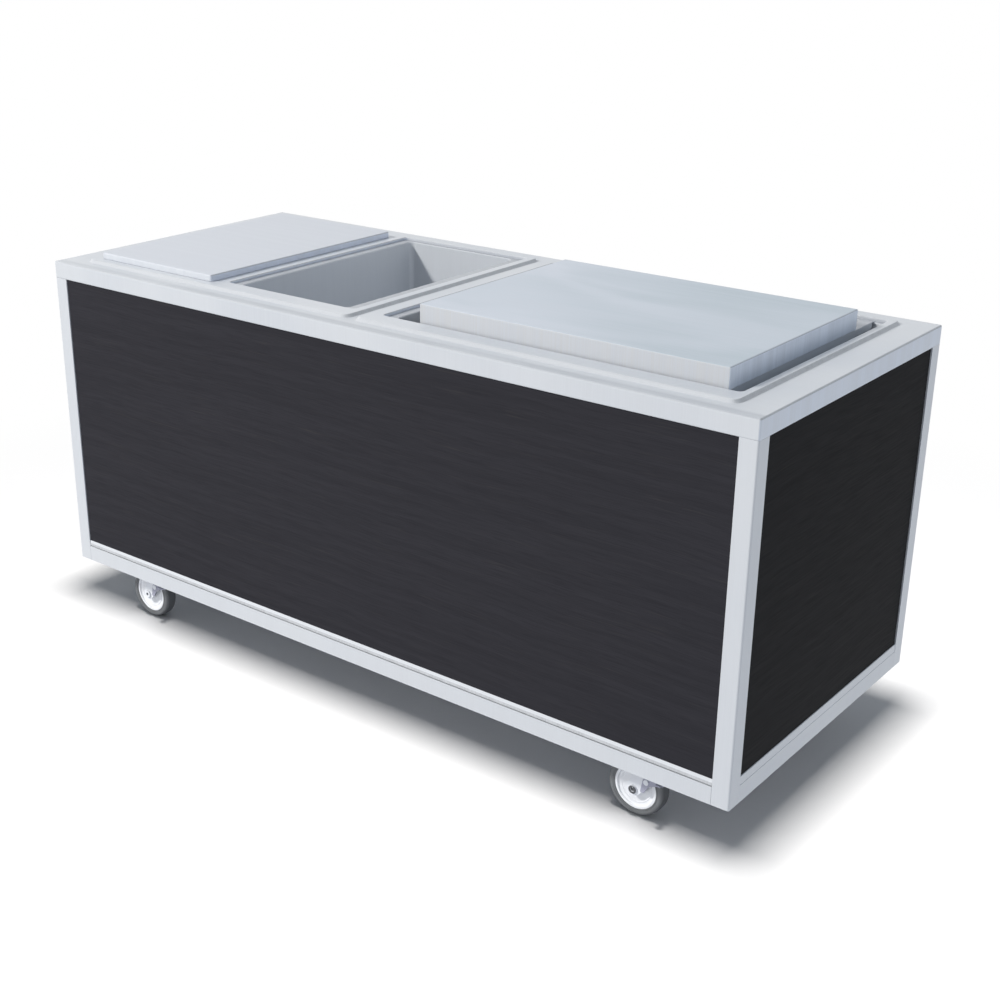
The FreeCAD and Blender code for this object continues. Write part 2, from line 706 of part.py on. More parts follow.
def shelf(side):
    """Sheet folded down on its long edges; its rear inner corner is cut back round the stile."""
    x0, x1, stile_x = shelf_spans()[side]
    g = shelf_gauge
    tray = block(x0, x1, shelf_y0, shelf_y1, shelf_top - shelf_fold, shelf_top)
    tray = tray.cut(block(x0, x1, shelf_y0 + g, shelf_y1 - g, shelf_top - shelf_fold, shelf_top - g))
    stile_y0 = y_rear - 2 * tube_width - seat_gap - 1
    nx = (stile_x, x1 + 1) if side == "left" else (x0 - 1, stile_x)
    notch = block(nx[0], nx[1], stile_y0, shelf_y1 + 1, shelf_top - shelf_fold - 1, shelf_top + 1)
    return tray.cut(notch)


def shelf_cleats():
    """Angles under the shelf ends, on the end panels and on both faces of the partition."""
    y0, y1 = shelf_y0 + shelf_gauge + 3, y_rear - 2 * tube_width - 8
    top = shelf_top - shelf_gauge
    g, leg = cleat_gauge, cleat_leg
    x = divider_x()
    faces = [(x_left + panel_back, 1), (x - divider_gauge / 2, -1), (x + divider_gauge / 2, 1),
             (x_right - panel_back, -1)]
    angles = []
    for face, out in faces:
        upright = sorted((face, face + out * g))
        ledge = sorted((face, face + out * leg))
        angle = block(upright[0], upright[1], y0, y1, top - leg, top)
        angles.append(angle.fuse(block(ledge[0], ledge[1], y0, y1, top - g, top)))
    return group(angles)


# ---------------------------------------------------------------- casters
def bolt_places(cx, cy):
    return [(cx + sx * bolt_spacing_x / 2, cy + sy * bolt_spacing_y / 2) for sx in (-1, 1) for sy in (-1, 1)]


def caster_plate(cx, cy):
    """Top plate with its pressed race and the kingpin, whose head holds the fork crown from below."""
    plate = round_slab(cx - plate_length / 2, cx + plate_length / 2, cy - plate_width / 2,
                       cy + plate_width / 2, plate_bottom, plate_top, plate_corner)
    race = Part.makeCone(race_radius - race_taper, race_radius, race_depth,
                         V(cx, cy, plate_bottom - race_depth))
    pin_foot = crown_bottom - kingpin_head_thick
    pin = rod(cx, cy, pin_foot, kingpin_radius, plate_top - pin_foot)
    head = rod(cx, cy, pin_foot, kingpin_head_radius, kingpin_head_thick - seat_gap)
    head = head.makeChamfer(1.5, edges_at(head, pin_foot))
    solid = plate.fuse(race).fuse(pin).fuse(head)
    for bx, by in bolt_places(cx, cy):
        solid = solid.cut(rod(bx, by, plate_bottom - 1, bolt_radius + bolt_hole_gap, plate_thick + 2))
    return solid


def plate_bolt(bx, by):
    """Bolt with its head under the plate and its nut on the channel's web."""
    foot = plate_bottom - bolt_head_thick
    head = hexagon_bar(bx, by, foot, bolt_flats, bolt_head_thick)
    shank = rod(bx, by, foot, bolt_radius, bolt_head_thick + plate_thick + channel_gauge + bolt_end)
    nut = hexagon_bar(bx, by, plate_top + channel_gauge, bolt_flats, bolt_nut_thick)
    return head.fuse(shank).fuse(nut)


def fork_leg_face(cx, y):
    """Leg outline: from the crown over the swivel axis down to a round foot at the axle."""
    ax, az, r = cx - wheel_trail, wheel_radius, leg_foot_radius
    top_back, top_front = cx - leg_top_back, cx + leg_top_front
    z = crown_bottom
    lean = math.radians(35)
    start = V(ax - r, y, az)
    middle = V(ax, y, az - r)
    end = V(ax + r * math.cos(lean), y, az - r * math.sin(lean))
    edges = [Part.Arc(start, middle, end).toShape(),
             Part.LineSegment(end, V(top_front, y, z - leg_shoulder)).toShape(),
             Part.LineSegment(V(top_front, y, z - leg_shoulder), V(top_front, y, z)).toShape(),
             Part.LineSegment(V(top_front, y, z), V(top_back, y, z)).toShape(),
             Part.LineSegment(V(top_back, y, z), start).toShape()]
    return Part.Face(Part.Wire(edges))


def caster_fork(cx, cy):
    """Pressed fork: round crown with a lower race, two legs, and the brake's rivet on the outer leg."""
    half = leg_outside
    crown = rod(cx, cy, crown_bottom, race_radius + 3, crown_thick)
    bridge = block(cx - leg_top_back, cx + leg_top_front, cy - half, cy + half, crown_bottom, crown_top)
    rounded = [e for e in edges_at(bridge, crown_top) if e.BoundBox.XLength > leg_top_back]
    bridge = bridge.makeFillet(crown_thick - 0.5, rounded)
    race = Part.makeCone(race_radius, race_radius - race_taper, fork_race_depth, V(cx, cy, crown_top))
    fork = crown.fuse(bridge).fuse(race)
    for side in (-1, 1):
        y = cy + (leg_inside if side > 0 else -leg_outside)
        fork = fork.fuse(fork_leg_face(cx, y).extrude(V(0, leg_thick, 0)))
    ax = cx - wheel_trail
    fork = fork.cut(rod(cx, cy, crown_bottom - 1, kingpin_radius + running_gap, fork_race_top - crown_bottom + 2))
    fork = fork.cut(rod(ax, cy - half - 1, wheel_radius, axle_radius + 0.1, 2 * half + 2, V(0, 1, 0)))
    px, pz = ax + brake_pivot_x, wheel_radius + brake_pivot_z
    reach = brake_thick + 2 * seat_gap
    rivet = rod(px, cy - half - reach, pz, brake_pin_radius, reach + leg_thick, V(0, 1, 0))
    rivet_head = rod(px, cy - half - reach - brake_rivet_thick, pz, brake_rivet_radius, brake_rivet_thick,
                     V(0, 1, 0))
    return fork.fuse(rivet).fuse(rivet_head)


def caster_axle(cx, cy):
    """Bolt through both legs and the hub: low round head with a socket, nut on the inner side."""
    ax, az = cx - wheel_trail, wheel_radius
    y0 = cy - leg_outside
    shank = rod(ax, y0, az, axle_radius, 2 * leg_outside + axle_end, V(0, 1, 0))
    head = rod(ax, y0 - axle_head_thick, az, axle_head_radius, axle_head_thick, V(0, 1, 0))
    socket = rod(ax, y0 - axle_head_thick, az, axle_socket_radius, axle_socket_depth, V(0, 1, 0))
    nut = hexagon_bar(0, 0, 0, axle_nut_flats, axle_nut_thick)
    nut.rotate(V(0, 0, 0), V(1, 0, 0), -90)
    nut.translate(V(ax, cy + leg_outside, az))
    return shank.fuse(head).cut(socket).fuse(nut)


def wheel_hub(cx, cy):
    """Moulded disc wheel centre, dished on both sides around its boss."""
    ax, az = cx - wheel_trail, wheel_radius
    half = wheel_width / 2 - hub_inset
    boss = leg_inside - seat_gap
    rim_in, dish = hub_radius - 6, half - hub_dish
    bore = axle_radius + running_gap
    points = [(bore, -boss), (hub_boss_radius, -boss), (hub_boss_radius + 1.5, -dish), (rim_in - 2, -dish),
              (rim_in, -half), (hub_radius, -half), (hub_radius, half), (rim_in, half), (rim_in - 2, dish),
              (hub_boss_radius + 1.5, dish), (hub_boss_radius, boss), (bore, boss)]
    return turned([(r, cy + y) for r, y in points], ax, az)


def tyre(cx, cy):
    """Rubber tread with round shoulders, moulded on the disc's edge."""
    ax, az = cx - wheel_trail, wheel_radius
    half = wheel_width / 2
    s = tyre_shoulder
    mid = wheel_radius - s + s * math.sin(math.radians(45))
    out = half - s + s * math.cos(math.radians(45))

    def place(radius, y):
        return V(ax, cy + y, az + radius)

    edges = [Part.LineSegment(place(hub_radius, -half), place(wheel_radius - s, -half)).toShape(),
             Part.Arc(place(wheel_radius - s, -half), place(mid, -out), place(wheel_radius, -half + s)).toShape(),
             Part.LineSegment(place(wheel_radius, -half + s), place(wheel_radius, half - s)).toShape(),
             Part.Arc(place(wheel_radius, half - s), place(mid, out), place(wheel_radius - s, half)).toShape(),
             Part.LineSegment(place(wheel_radius - s, half), place(hub_radius, half)).toShape(),
             Part.LineSegment(place(hub_radius, half), place(hub_radius, -half)).toShape()]
    return Part.Face(Part.Wire(edges)).revolve(V(ax, 0, az), V(0, 1, 0), 360)


def brake_lever(cx, cy):
    """Stamped lever on the outer leg: a toe beside the hub, and a pedal tab that a shoe presses down."""
    px, pz = cx - wheel_trail + brake_pivot_x, wheel_radius + brake_pivot_z
    y1 = cy - leg_outside - seat_gap
    y0 = y1 - brake_thick
    outline = [(-14, -27), (-5, -27), (4, -10), (10, -6), (40, 5), (40, 14), (6, 8), (-5, 8), (-9, 2)]
    lever = profile_y([(px + dx, pz + dz) for dx, dz in outline], y0, y1)
    lever = lever.fuse(rod(px, y0, pz, brake_eye_radius, brake_thick, V(0, 1, 0)))
    pedal = block(px + 28, px + 40, y0 - brake_pad_width, y1, pz + 10.5, pz + 14)
    toe_round = [e for e in lever.Edges if e.BoundBox.YLength > brake_thick - 0.1 and len(e.Vertexes) == 2
                 and e.Vertexes[0].Z < pz - 26]
    lever = lever.makeFillet(3.0, toe_round).fuse(pedal)
    return lever.cut(rod(px, y0 - 1, pz, brake_pin_radius + running_gap, brake_thick + 2, V(0, 1, 0)))


# ---------------------------------------------------------------- build
keep("counter_top", counter_top())
for node, sx, sy in (("front_left_post", -1, -1), ("front_right_post", 1, -1),
                     ("rear_left_post", -1, 1), ("rear_right_post", 1, 1)):
    keep(node, post(sx, sy))
keep("lower_rails", lower_rails())
keep("upper_rails", upper_rails())
keep("counter_braces", counter_braces())
keep("caster_channels", caster_channels())

keep("front_panel", panel_along_x(y_front, 1))
keep("left_panel", panel_along_y(x_left, 1))
keep("right_panel", panel_along_y(x_right, -1))
keep("front_retainer", front_retainer())
keep("left_retainer", side_retainer(x_left, 1))
keep("right_retainer", side_retainer(x_right, -1))

keep("bottom_deck", bottom_deck())
keep("divider_panel", divider_panel())
for side in ("left", "right"):
    keep(f"{side}_shelf", shelf(side))
keep("shelf_cleats", shelf_cleats())

for name in OPENINGS:
    keep(f"{name}_well_liner", well_liner(name))
    keep(f"{name}_well_casing", well_casing(name))
keep("well_insulation", group([well_foam(name) for name in OPENINGS]))
places = drain_places()
keep("drain_strainers", group([strainer(x, y) for x, y in places.values()]))
keep("drain_nuts", group([lock_nut(x, y) for x, y in places.values()]))
keep("drain_pipes", group([drain_pipe(x, y) for x, y in places.values()]))
keep("drain_valves", group([drain_valve(x, y) for x, y in places.values()]))
for name, (x, y) in places.items():
    keep(f"{name}_valve_handle", valve_handle(x, y))

lid_skin, lid_plug = left_lid()
keep("left_lid_skin", lid_skin)
keep("left_lid_plug", lid_plug)
keep("right_cover", right_cover())
keep("adapter_bars", adapter_bars())

keep("caster_plates", group([caster_plate(x, y) for x, y in CASTERS.values()]))
keep("caster_bolts", group([plate_bolt(bx, by) for x, y in CASTERS.values() for bx, by in bolt_places(x, y)]))
for name, (x, y) in CASTERS.items():
    keep(f"{name}_fork", caster_fork(x, y))
    keep(f"{name}_axle", caster_axle(x, y))
    keep(f"{name}_hub", wheel_hub(x, y))
    keep(f"{name}_tyre", tyre(x, y))
    keep(f"{name}_brake_lever", brake_lever(x, y))
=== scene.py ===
import json
import math

import bmesh
import bpy
from bpy.props import FloatProperty, FloatVectorProperty, IntProperty, PointerProperty
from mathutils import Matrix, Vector


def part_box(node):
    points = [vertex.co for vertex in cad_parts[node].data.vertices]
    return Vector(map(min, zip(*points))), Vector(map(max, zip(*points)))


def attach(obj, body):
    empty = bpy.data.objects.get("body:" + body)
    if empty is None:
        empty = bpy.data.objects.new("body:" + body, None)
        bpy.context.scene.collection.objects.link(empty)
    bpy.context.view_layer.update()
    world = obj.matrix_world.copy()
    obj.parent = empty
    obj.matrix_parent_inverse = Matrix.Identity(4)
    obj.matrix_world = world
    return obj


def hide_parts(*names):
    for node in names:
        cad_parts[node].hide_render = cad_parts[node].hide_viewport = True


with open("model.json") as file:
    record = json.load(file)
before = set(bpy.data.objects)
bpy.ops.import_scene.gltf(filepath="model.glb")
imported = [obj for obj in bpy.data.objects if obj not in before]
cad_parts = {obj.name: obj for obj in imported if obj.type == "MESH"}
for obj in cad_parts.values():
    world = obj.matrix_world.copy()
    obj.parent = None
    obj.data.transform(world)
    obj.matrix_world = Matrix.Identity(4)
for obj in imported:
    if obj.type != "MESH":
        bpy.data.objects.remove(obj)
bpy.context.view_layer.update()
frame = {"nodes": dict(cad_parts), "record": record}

bl_info = {
    "name": "Mobile salad bar",
    "version": (1, 0, 0),
    "blender": (4, 5, 0),
    "location": "View3D > Sidebar > Salad bar",
    "description": "Builds the finished surfaces, fittings and studio of a mobile salad bar",
    "category": "Add Mesh",
}

NODES = frame["nodes"]
BODY_OF = {node: body for body, members in frame["record"]["behaviour"]["bodies"].items() for node in members}
WELLS = ("left", "middle", "right")
CASTERS = ("front_left", "front_right", "rear_left", "rear_right")
CAD_MESH_FINISHES = {"well_insulation": "foam"}     # nodes that keep their CAD mesh, and its finish

FINISH = {}             # materials by name
TOP_PIECES = []         # counter sheet, well pans and casings: they shade the floor
CASTER_PIECES = []      # wheels, forks, axles and levers: they shade the floor, and the low lamp lights them

# fixed sizes in metres
LINER_GAUGE = 0.0012
CASING_GAUGE = 0.001
CASING_BEND = 0.002     # rounding round the bottom of the casings
HEM_STRIP = 0.002       # straight strip at the foot of the apron and of the flat lid's wall
LIP_GAP = 0.0001        # left between the lips round the openings and the well flanges
PLUG_EDGE = 0.001       # rounding of the lid's plug board
TYRE_SEAT = 0.0485      # radius at which the tyre meets the wheel disc
TYRE_SHOULDER = 0.008
TREAD_RIDGE = 0.0002    # height of the parting ridge over the tread
MIN_RADIUS = 0.0002     # least corner radius of an outline

# facets
SLOPE_STEPS = 14        # rings in the rims' soft slopes
WALL_STEPS = 4          # rings down a well's wall
DRAIN_STEPS = 40
TYRE_STEPS = 72
DISC_STEPS = 64
SHOULDER_STEPS = 7

# noise scales of the steel: across the streaks, along them on level faces, along them on walls
FINE_BRUSHING = (620.0, 5.0, 4.0)
WIDE_BANDS = (46.0, 1.2, 0.9)
SHADED_SHARE = 0.62     # share of its colour that steel keeps where shade is painted on it: the lower part of the front trim, and slopes facing the right
FRONT_REFLECTION = 0.78             # the same for the haze colour in the front strip: a painted reflection

# soft lamps for the whole object: place, aim, width and depth, tint
WHITE = (1.0, 1.0, 1.0)
SOFT_LAMPS = {
    "overhead": ((0.0, 0.1, 4.6), (0.0, 0.0, 0.4), (4.6, 3.6), WHITE),
    "key": ((-5.1, -6.7, 6.5), (0.0, 0.0, 0.9), (1.0, 1.0), (1.0, 0.985, 0.955)),
    "front": ((-1.7, -5.2, 1.5), (0.0, 0.0, 0.5), (3.6, 1.8), WHITE),
    "side": ((5.0, -0.4, 4.2), (0.0, 0.0, 0.9), (3.0, 2.2), (0.62, 0.80, 1.0)),
    "rear": ((0.8, 5.2, 1.1), (0.0, 0.0, 0.5), (3.6, 2.0), (0.84, 0.91, 1.0)),
}
SKY_TINT = (0.80, 0.89, 1.0)
DOWNLIGHT_FOOT = (0.75, -1.01, 0.0)     # point of the floor under the high lamp
DOWNLIGHT_PLACE = (0.75, -1.01, 10.2)
FLOOR_HALF = 45.0       # half the width of the floor
SENSOR_WIDTH = 36.0     # millimetres
FARTHEST = 200.0        # the camera sees no further


# ---------------------------------------------------------------- settings
def length(name, description, default):
    return FloatProperty(name=name, description=description, default=default, min=0.0, unit="LENGTH",
                         subtype="DISTANCE", precision=4)


def colour(name, description, default):
    return FloatVectorProperty(name=name, description=description, default=default, size=3, min=0.0, max=1.0,
                               subtype="COLOR")


def share(name, description, default):
    return FloatProperty(name=name, description=description, default=default, min=0.0, max=1.0, subtype="FACTOR")


def lamp_level(name, description, default):
    return FloatProperty(name=name, description=description, default=default, min=0.0)


class SaladBarShapes(bpy.types.PropertyGroup):
    """Sizes of the formed sheet and of the small roundings"""
    corner_steps: IntProperty(name="Corner steps", description="Facets in each rounded corner", default=8, min=2)
    counter_corner: length("Counter corner", "Radius of the counter's outer corners and top edge", 0.004)
    rim_height: length("Rim height", "How far the rims stand above the flat of the counter", 0.007)
    rim_slope: length("Rim slope", "Width of the soft slope round the rims", 0.013)
    rim_ease: length("Rim ease", "Level strip left at the foot and the crest of the slope", 0.002)
    rim_corner: length("Rim corner", "Corner radius at the foot of the rims", 0.024)
    rim_foot_y: length("Front foot", "Body face to the foot of the rims, front and rear", 0.038)
    rim_foot_x: length("End foot", "Body face to the foot of the rims at both ends", 0.062)
    # painted reflection: width of the darker strip along the counter's front edge
    front_reflection_strip: length("Front reflection", "Width of the duller strip along the front edge", 0.022)
    middle_land: length("Middle land", "Flat top of the rim on the right of the middle opening", 0.016)
    right_land: length("Wide land", "Flat top of the rim on the left of the right opening", 0.029)
    opening_corner: length("Opening corner", "Corner radius of the openings", 0.010)
    lip_radius: length("Lip radius", "Rounding of the lips round the openings", 0.0022)
    flange_under: length("Flange under", "How far the well flange reaches under the rim", 0.008)
    wall_build: length("Wall build", "Liner, foam and casing together, beside the deep wells", 0.0212)
    ledge_edge: length("Ledge edge", "Rounding from the ledge into the well", 0.003)
    well_corner: length("Well corner", "Corner radius of the deep wells", 0.014)
    well_draft: length("Well draft", "How far the well walls lean in", 0.004)
    well_bottom: length("Well bottom", "Rounding from the walls to the floor of the wells", 0.012)
    drain_radius: length("Drain radius", "Radius of the drain hole", 0.020)
    lid_corner: length("Lid corner", "Corner radius of the flat lid", 0.006)
    lid_edge: length("Lid edge", "Rounding of the flat lid's top edge", 0.0035)
    cover_corner: length("Cover corner", "Radius of the box cover's folded corners", 0.0025)
    cover_hem: length("Cover hem", "Width of the box cover's inward hem", 0.010)
    gauge: length("Sheet gauge", "Thickness of the formed sheets", 0.0015)
    # painted shade: height of the darker lower part of the front trim
    trim_shade_height: length("Trim shade", "Height of the duller lower part of the front strip", 0.0065)
    tube_edge: length("Tube edge", "Rounding of the welded tubes' long edges", 0.0012)
    sheet_edge: length("Sheet edge", "Rounding of thin sheet pieces", 0.0004)
    board_edge: length("Board edge", "Rounding of the laminate boards", 0.0006)
    # painted shade: radius of the dark spot in the axle's socket
    socket_shade_radius: length("Axle socket", "Radius of the dark socket in the axle's head", 0.0032)
    fitting_edge: length("Fitting edge", "Rounding of pressed and turned fittings", 0.0006)


class SaladBarFinishes(bpy.types.PropertyGroup):
    """Colours and surface qualities of the finishes"""
    steel: colour("Steel", "Satin stainless sheet and tube", (0.665, 0.685, 0.715))
    steel_cloud: colour("Steel haze", "Soft darker patches on the satin steel", (0.58, 0.61, 0.66))
    well_steel: colour("Well steel", "Drawn sheet of the wells", (0.63, 0.65, 0.68))
    # painted shade: darker copy of the well steel for the level faces of the wells
    well_ledges_shaded: colour("Well ledges", "Level faces of the wells", (0.40, 0.415, 0.45))
    lid_steel: colour("Lid steel", "Skin of the flat lid", (0.62, 0.645, 0.70))
    cover_steel: colour("Cover steel", "Sheet of the box cover", (0.62, 0.66, 0.73))
    cover_haze: colour("Cover haze", "Duller clouds on top of the box cover", (0.46, 0.53, 0.58))
    # painted light: lit copy of the cover steel for its upright walls
    cover_walls_lit: colour("Cover walls", "Upright sides of the box cover", (0.62, 0.625, 0.635))
    # painted light: lit copy of the steel for the counter's upright right end
    steel_end_lit: colour("Counter end", "Upright right end of the counter", (0.72, 0.77, 0.86))
    # painted light: lit copy of the lid steel for its upright edges
    lid_walls_lit: colour("Lid walls", "Upright edges of the flat lid", (0.72, 0.745, 0.78))
    # painted light: lit copy of the lid steel for its upright right edge
    lid_end_lit: colour("Lid end", "Upright right edge of the flat lid", (0.68, 0.73, 0.84))
    # painted light: lit copy of the cover steel for its upright right side
    cover_end_lit: colour("Cover end", "Upright right side of the box cover", (0.84, 0.90, 1.0))
    metallic: share("Metal share", "How much of the satin steel's answer is metallic", 0.25)
    steel_rough: share("Steel roughness", "Roughness of the satin steel", 0.42)
    laminate: colour("Laminate", "Dark wood-grain laminate", (0.036, 0.035, 0.041))
    laminate_dark: colour("Laminate pores", "Dark pores of the grain", (0.024, 0.0235, 0.028))
    laminate_light: colour("Laminate streaks", "Pale brown streaks of the grain", (0.058, 0.054, 0.053))
    # painted shade: darker copy of the laminate for the end panels
    shaded_end_laminate: colour("End laminate", "Share of the laminate's colour kept by the end panels", (0.68, 0.68, 0.60))
    laminate_rough: share("Laminate roughness", "Roughness of the laminate", 0.6)
    wheel: colour("Wheel centre", "Pale moulded wheel disc", (0.74, 0.75, 0.775))
    rubber: colour("Tyre", "Grey rubber tyre", (0.135, 0.14, 0.146))
    lever: colour("Brake lever", "Grey-violet coated brake lever", (0.31, 0.315, 0.39))
    fork: colour("Fork", "Pale coated caster fork", (0.70, 0.715, 0.75))
    zinc: colour("Zinc", "Zinc-plated pressings", (0.56, 0.59, 0.64))
    bolt: colour("Bolt", "Dark bolt heads", (0.10, 0.105, 0.115))
    brass: colour("Brass", "Cast brass valve", (0.60, 0.43, 0.17))
    grip: colour("Valve grip", "Coated valve lever", (0.07, 0.075, 0.085))
    foam: colour("Foam", "Insulating foam", (0.74, 0.66, 0.42))


class SaladBarStage(bpy.types.PropertyGroup):
    """Camera, lamps and floor of the studio"""
    lens: FloatProperty(name="Lens", description="Focal length in millimetres", default=55.12, min=10.0)
    shift_x: FloatProperty(name="Shift X", description="Sideways shift of the frame", default=0.065)
    shift_y: FloatProperty(name="Shift Y", description="Upward shift of the frame", default=0.005)
    eye: FloatVectorProperty(name="Eye", description="Place of the camera", default=(2.0191, -2.5833, 1.7207),
                             subtype="XYZ", unit="LENGTH")
    gaze: FloatVectorProperty(name="Gaze", description="Direction of view", default=(-0.58522, 0.72046, -0.37209),
                              subtype="DIRECTION")
    sky: share("Sky", "Level of the even light from all round", 0.24)
    overhead: lamp_level("Overhead", "Level of the large lamp above", 0.08)
    key: lamp_level("Key", "Level of the lamp on the upper left", 1.03)
    front: lamp_level("Front", "Level of the large lamp in front", 0.05)
    side: lamp_level("Side", "Level of the large lamp on the upper right", 0.10)
    rear: lamp_level("Rear", "Level of the large lamp behind", 0.38)
    low: lamp_level("Low", "Level of the low lamp in front, which lights only the casters", 0.27)
    downlight: lamp_level("Downlight", "Level of the high lamp that lights only the floor", 0.98)
    downlight_size: length("Downlight size", "Width of the high lamp above the floor", 1.25)
    floor_reach: length("Floor reach", "Distance at which the floor has run out into plain white", 2.4)
    floor: colour("Floor", "Colour of the floor for the light that it throws back", (0.46, 0.48, 0.52))
    floor_seen: colour("Floor seen", "Colour of the floor as it is seen", (0.97, 0.95, 0.93))


# ---------------------------------------------------------------- outlines and surfaces
def shapes():
    return bpy.context.scene.salad_bar_shapes


def finishes():
    return bpy.context.scene.salad_bar_finishes


def rectangle(low, high):
    """Outline (x0, x1, y0, y1) of a box seen from above."""
    return low.x, high.x, low.y, high.y


def grown(outline, by):
    """The outline with each side moved outwards by a length."""
    x0, x1, y0, y1 = outline
    return x0 - by, x1 + by, y0 - by, y1 + by


def ring(bm, outline, z, radius):
    """Closed edge loop of a level rectangle with rounded corners."""
    x0, x1, y0, y1 = outline
    made = bmesh.ops.create_grid(bm, x_segments=1, y_segments=1, size=0.5)["verts"]
    bmesh.ops.scale(bm, vec=(x1 - x0, y1 - y0, 1), verts=made)
    bmesh.ops.translate(bm, vec=((x0 + x1) / 2, (y0 + y1) / 2, z), verts=made)
    corner = bmesh.ops.bevel(bm, geom=made, offset=max(radius, MIN_RADIUS), offset_type="OFFSET", affect="VERTICES",
                             segments=shapes().corner_steps, profile=0.5, material=-1)
    face = max((f for v in corner["verts"] for f in v.link_faces), key=lambda f: len(f.verts))
    edges = list(face.edges)
    bmesh.ops.delete(bm, geom=[face], context="FACES_ONLY")
    return edges


def drain_hole(bm, outline, z):
    """Round edge loop in the middle of an outline."""
    x0, x1, y0, y1 = outline
    made = bmesh.ops.create_circle(bm, cap_ends=False, radius=shapes().drain_radius, segments=DRAIN_STEPS)["verts"]
    bmesh.ops.translate(bm, vec=((x0 + x1) / 2, (y0 + y1) / 2, z), verts=made)
    return list({e for v in made for e in v.link_edges})


def lofted(bm, outline, profile, radius):
    """Wall through level rings; the profile gives (inset, z) pairs. Returns the first and last ring."""
    rings = [ring(bm, grown(outline, -inset), z, radius - inset) for inset, z in profile]
    for near, far in zip(rings, rings[1:]):
        bmesh.ops.bridge_loops(bm, edges=near + far)
    return rings[0], rings[-1]


def plate(bm, *loops):
    """Level sheet inside the first loop with the others as holes."""
    bmesh.ops.triangle_fill(bm, use_beauty=True, use_dissolve=False, edges=[e for loop in loops for e in loop])


def fold(inset, z, radius, start, end, steps=5):
    """(inset, z) points of an arc about (inset, z), angles in degrees from the outward side up."""
    turns = [math.radians(start + (end - start) * k / steps) for k in range(steps + 1)]
    return [(inset - radius * math.cos(a), z + radius * math.sin(a)) for a in turns]


def facing(bm, direction):
    """Make an open sheet's faces agree, most of its area towards the direction."""
    bmesh.ops.remove_doubles(bm, verts=bm.verts[:], dist=0.00002)
    bmesh.ops.recalc_face_normals(bm, faces=bm.faces[:])
    whole = sum((f.normal * f.calc_area() for f in bm.faces), Vector())
    if whole.dot(Vector(direction)) < 0:
        bmesh.ops.reverse_faces(bm, faces=bm.faces[:])


def turned(bm, half_outline, centre, steps):
    """(radius, y) outline of the side y < 0 and its mirror image, spun about the Y axis through centre."""
    outline = half_outline + [(r, -y) for r, y in reversed(half_outline)]
    verts = [bm.verts.new((r, y, 0.0)) for r, y in outline]
    edges = [bm.edges.new(pair) for pair in zip(verts, verts[1:] + verts[:1])]
    bmesh.ops.spin(bm, geom=verts + edges, cent=(0, 0, 0), axis=(0, 1, 0), dvec=(0, 0, 0), angle=2 * math.pi,
                   steps=steps, use_merge=True, use_normal_flip=False, use_duplicate=False)
    bmesh.ops.remove_doubles(bm, verts=bm.verts[:], dist=0.00001)
    bmesh.ops.recalc_face_normals(bm, faces=bm.faces[:])
    bmesh.ops.translate(bm, vec=centre, verts=bm.verts[:])


def finished(bm, name, node, material, crease=32.0, thick=0.0, edge=0.0, edge_angle=40.0):
    """Turn the form into a piece that stands for its node and rides on the node's body."""
    mesh = bpy.data.meshes.new(name)
    bm.to_mesh(mesh)
    bm.free()
    mesh.materials.append(material)
    mesh.shade_smooth()
    mesh.set_sharp_from_angle(angle=math.radians(crease))
    piece = bpy.data.objects.new(name, mesh)
    bpy.context.scene.collection.objects.link(piece)
    if thick:
        wall = piece.modifiers.new("Sheet", "SOLIDIFY")
        wall.thickness = thick
        wall.offset = -1.0
        wall.use_even_offset = True
    if edge:
        rounding = piece.modifiers.new("Edges", "BEVEL")
        rounding.width = edge
        rounding.segments = 2
        rounding.limit_method = "ANGLE"
        rounding.angle_limit = math.radians(edge_angle)
        rounding.harden_normals = False
    normals = piece.modifiers.new("Shading", "WEIGHTED_NORMAL")
    normals.keep_sharp = True
    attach(piece, BODY_OF[node])
    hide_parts(node)
    return piece


def refined(node, material, edge, crease=32.0, edge_angle=40.0):
    """Piece made from a merged copy of a node's mesh, its flat faces joined and its edges rounded."""
    bm = bmesh.new()
    bm.from_mesh(NODES[node].data)
    bmesh.ops.remove_doubles(bm, verts=bm.verts[:], dist=0.000004)
    bmesh.ops.dissolve_limit(bm, angle_limit=math.radians(0.8), use_dissolve_boundaries=False,
                             verts=bm.verts[:], edges=bm.edges[:])
    return finished(bm, f"{node}_finish", node, material, crease=crease, edge=edge, edge_angle=edge_angle)


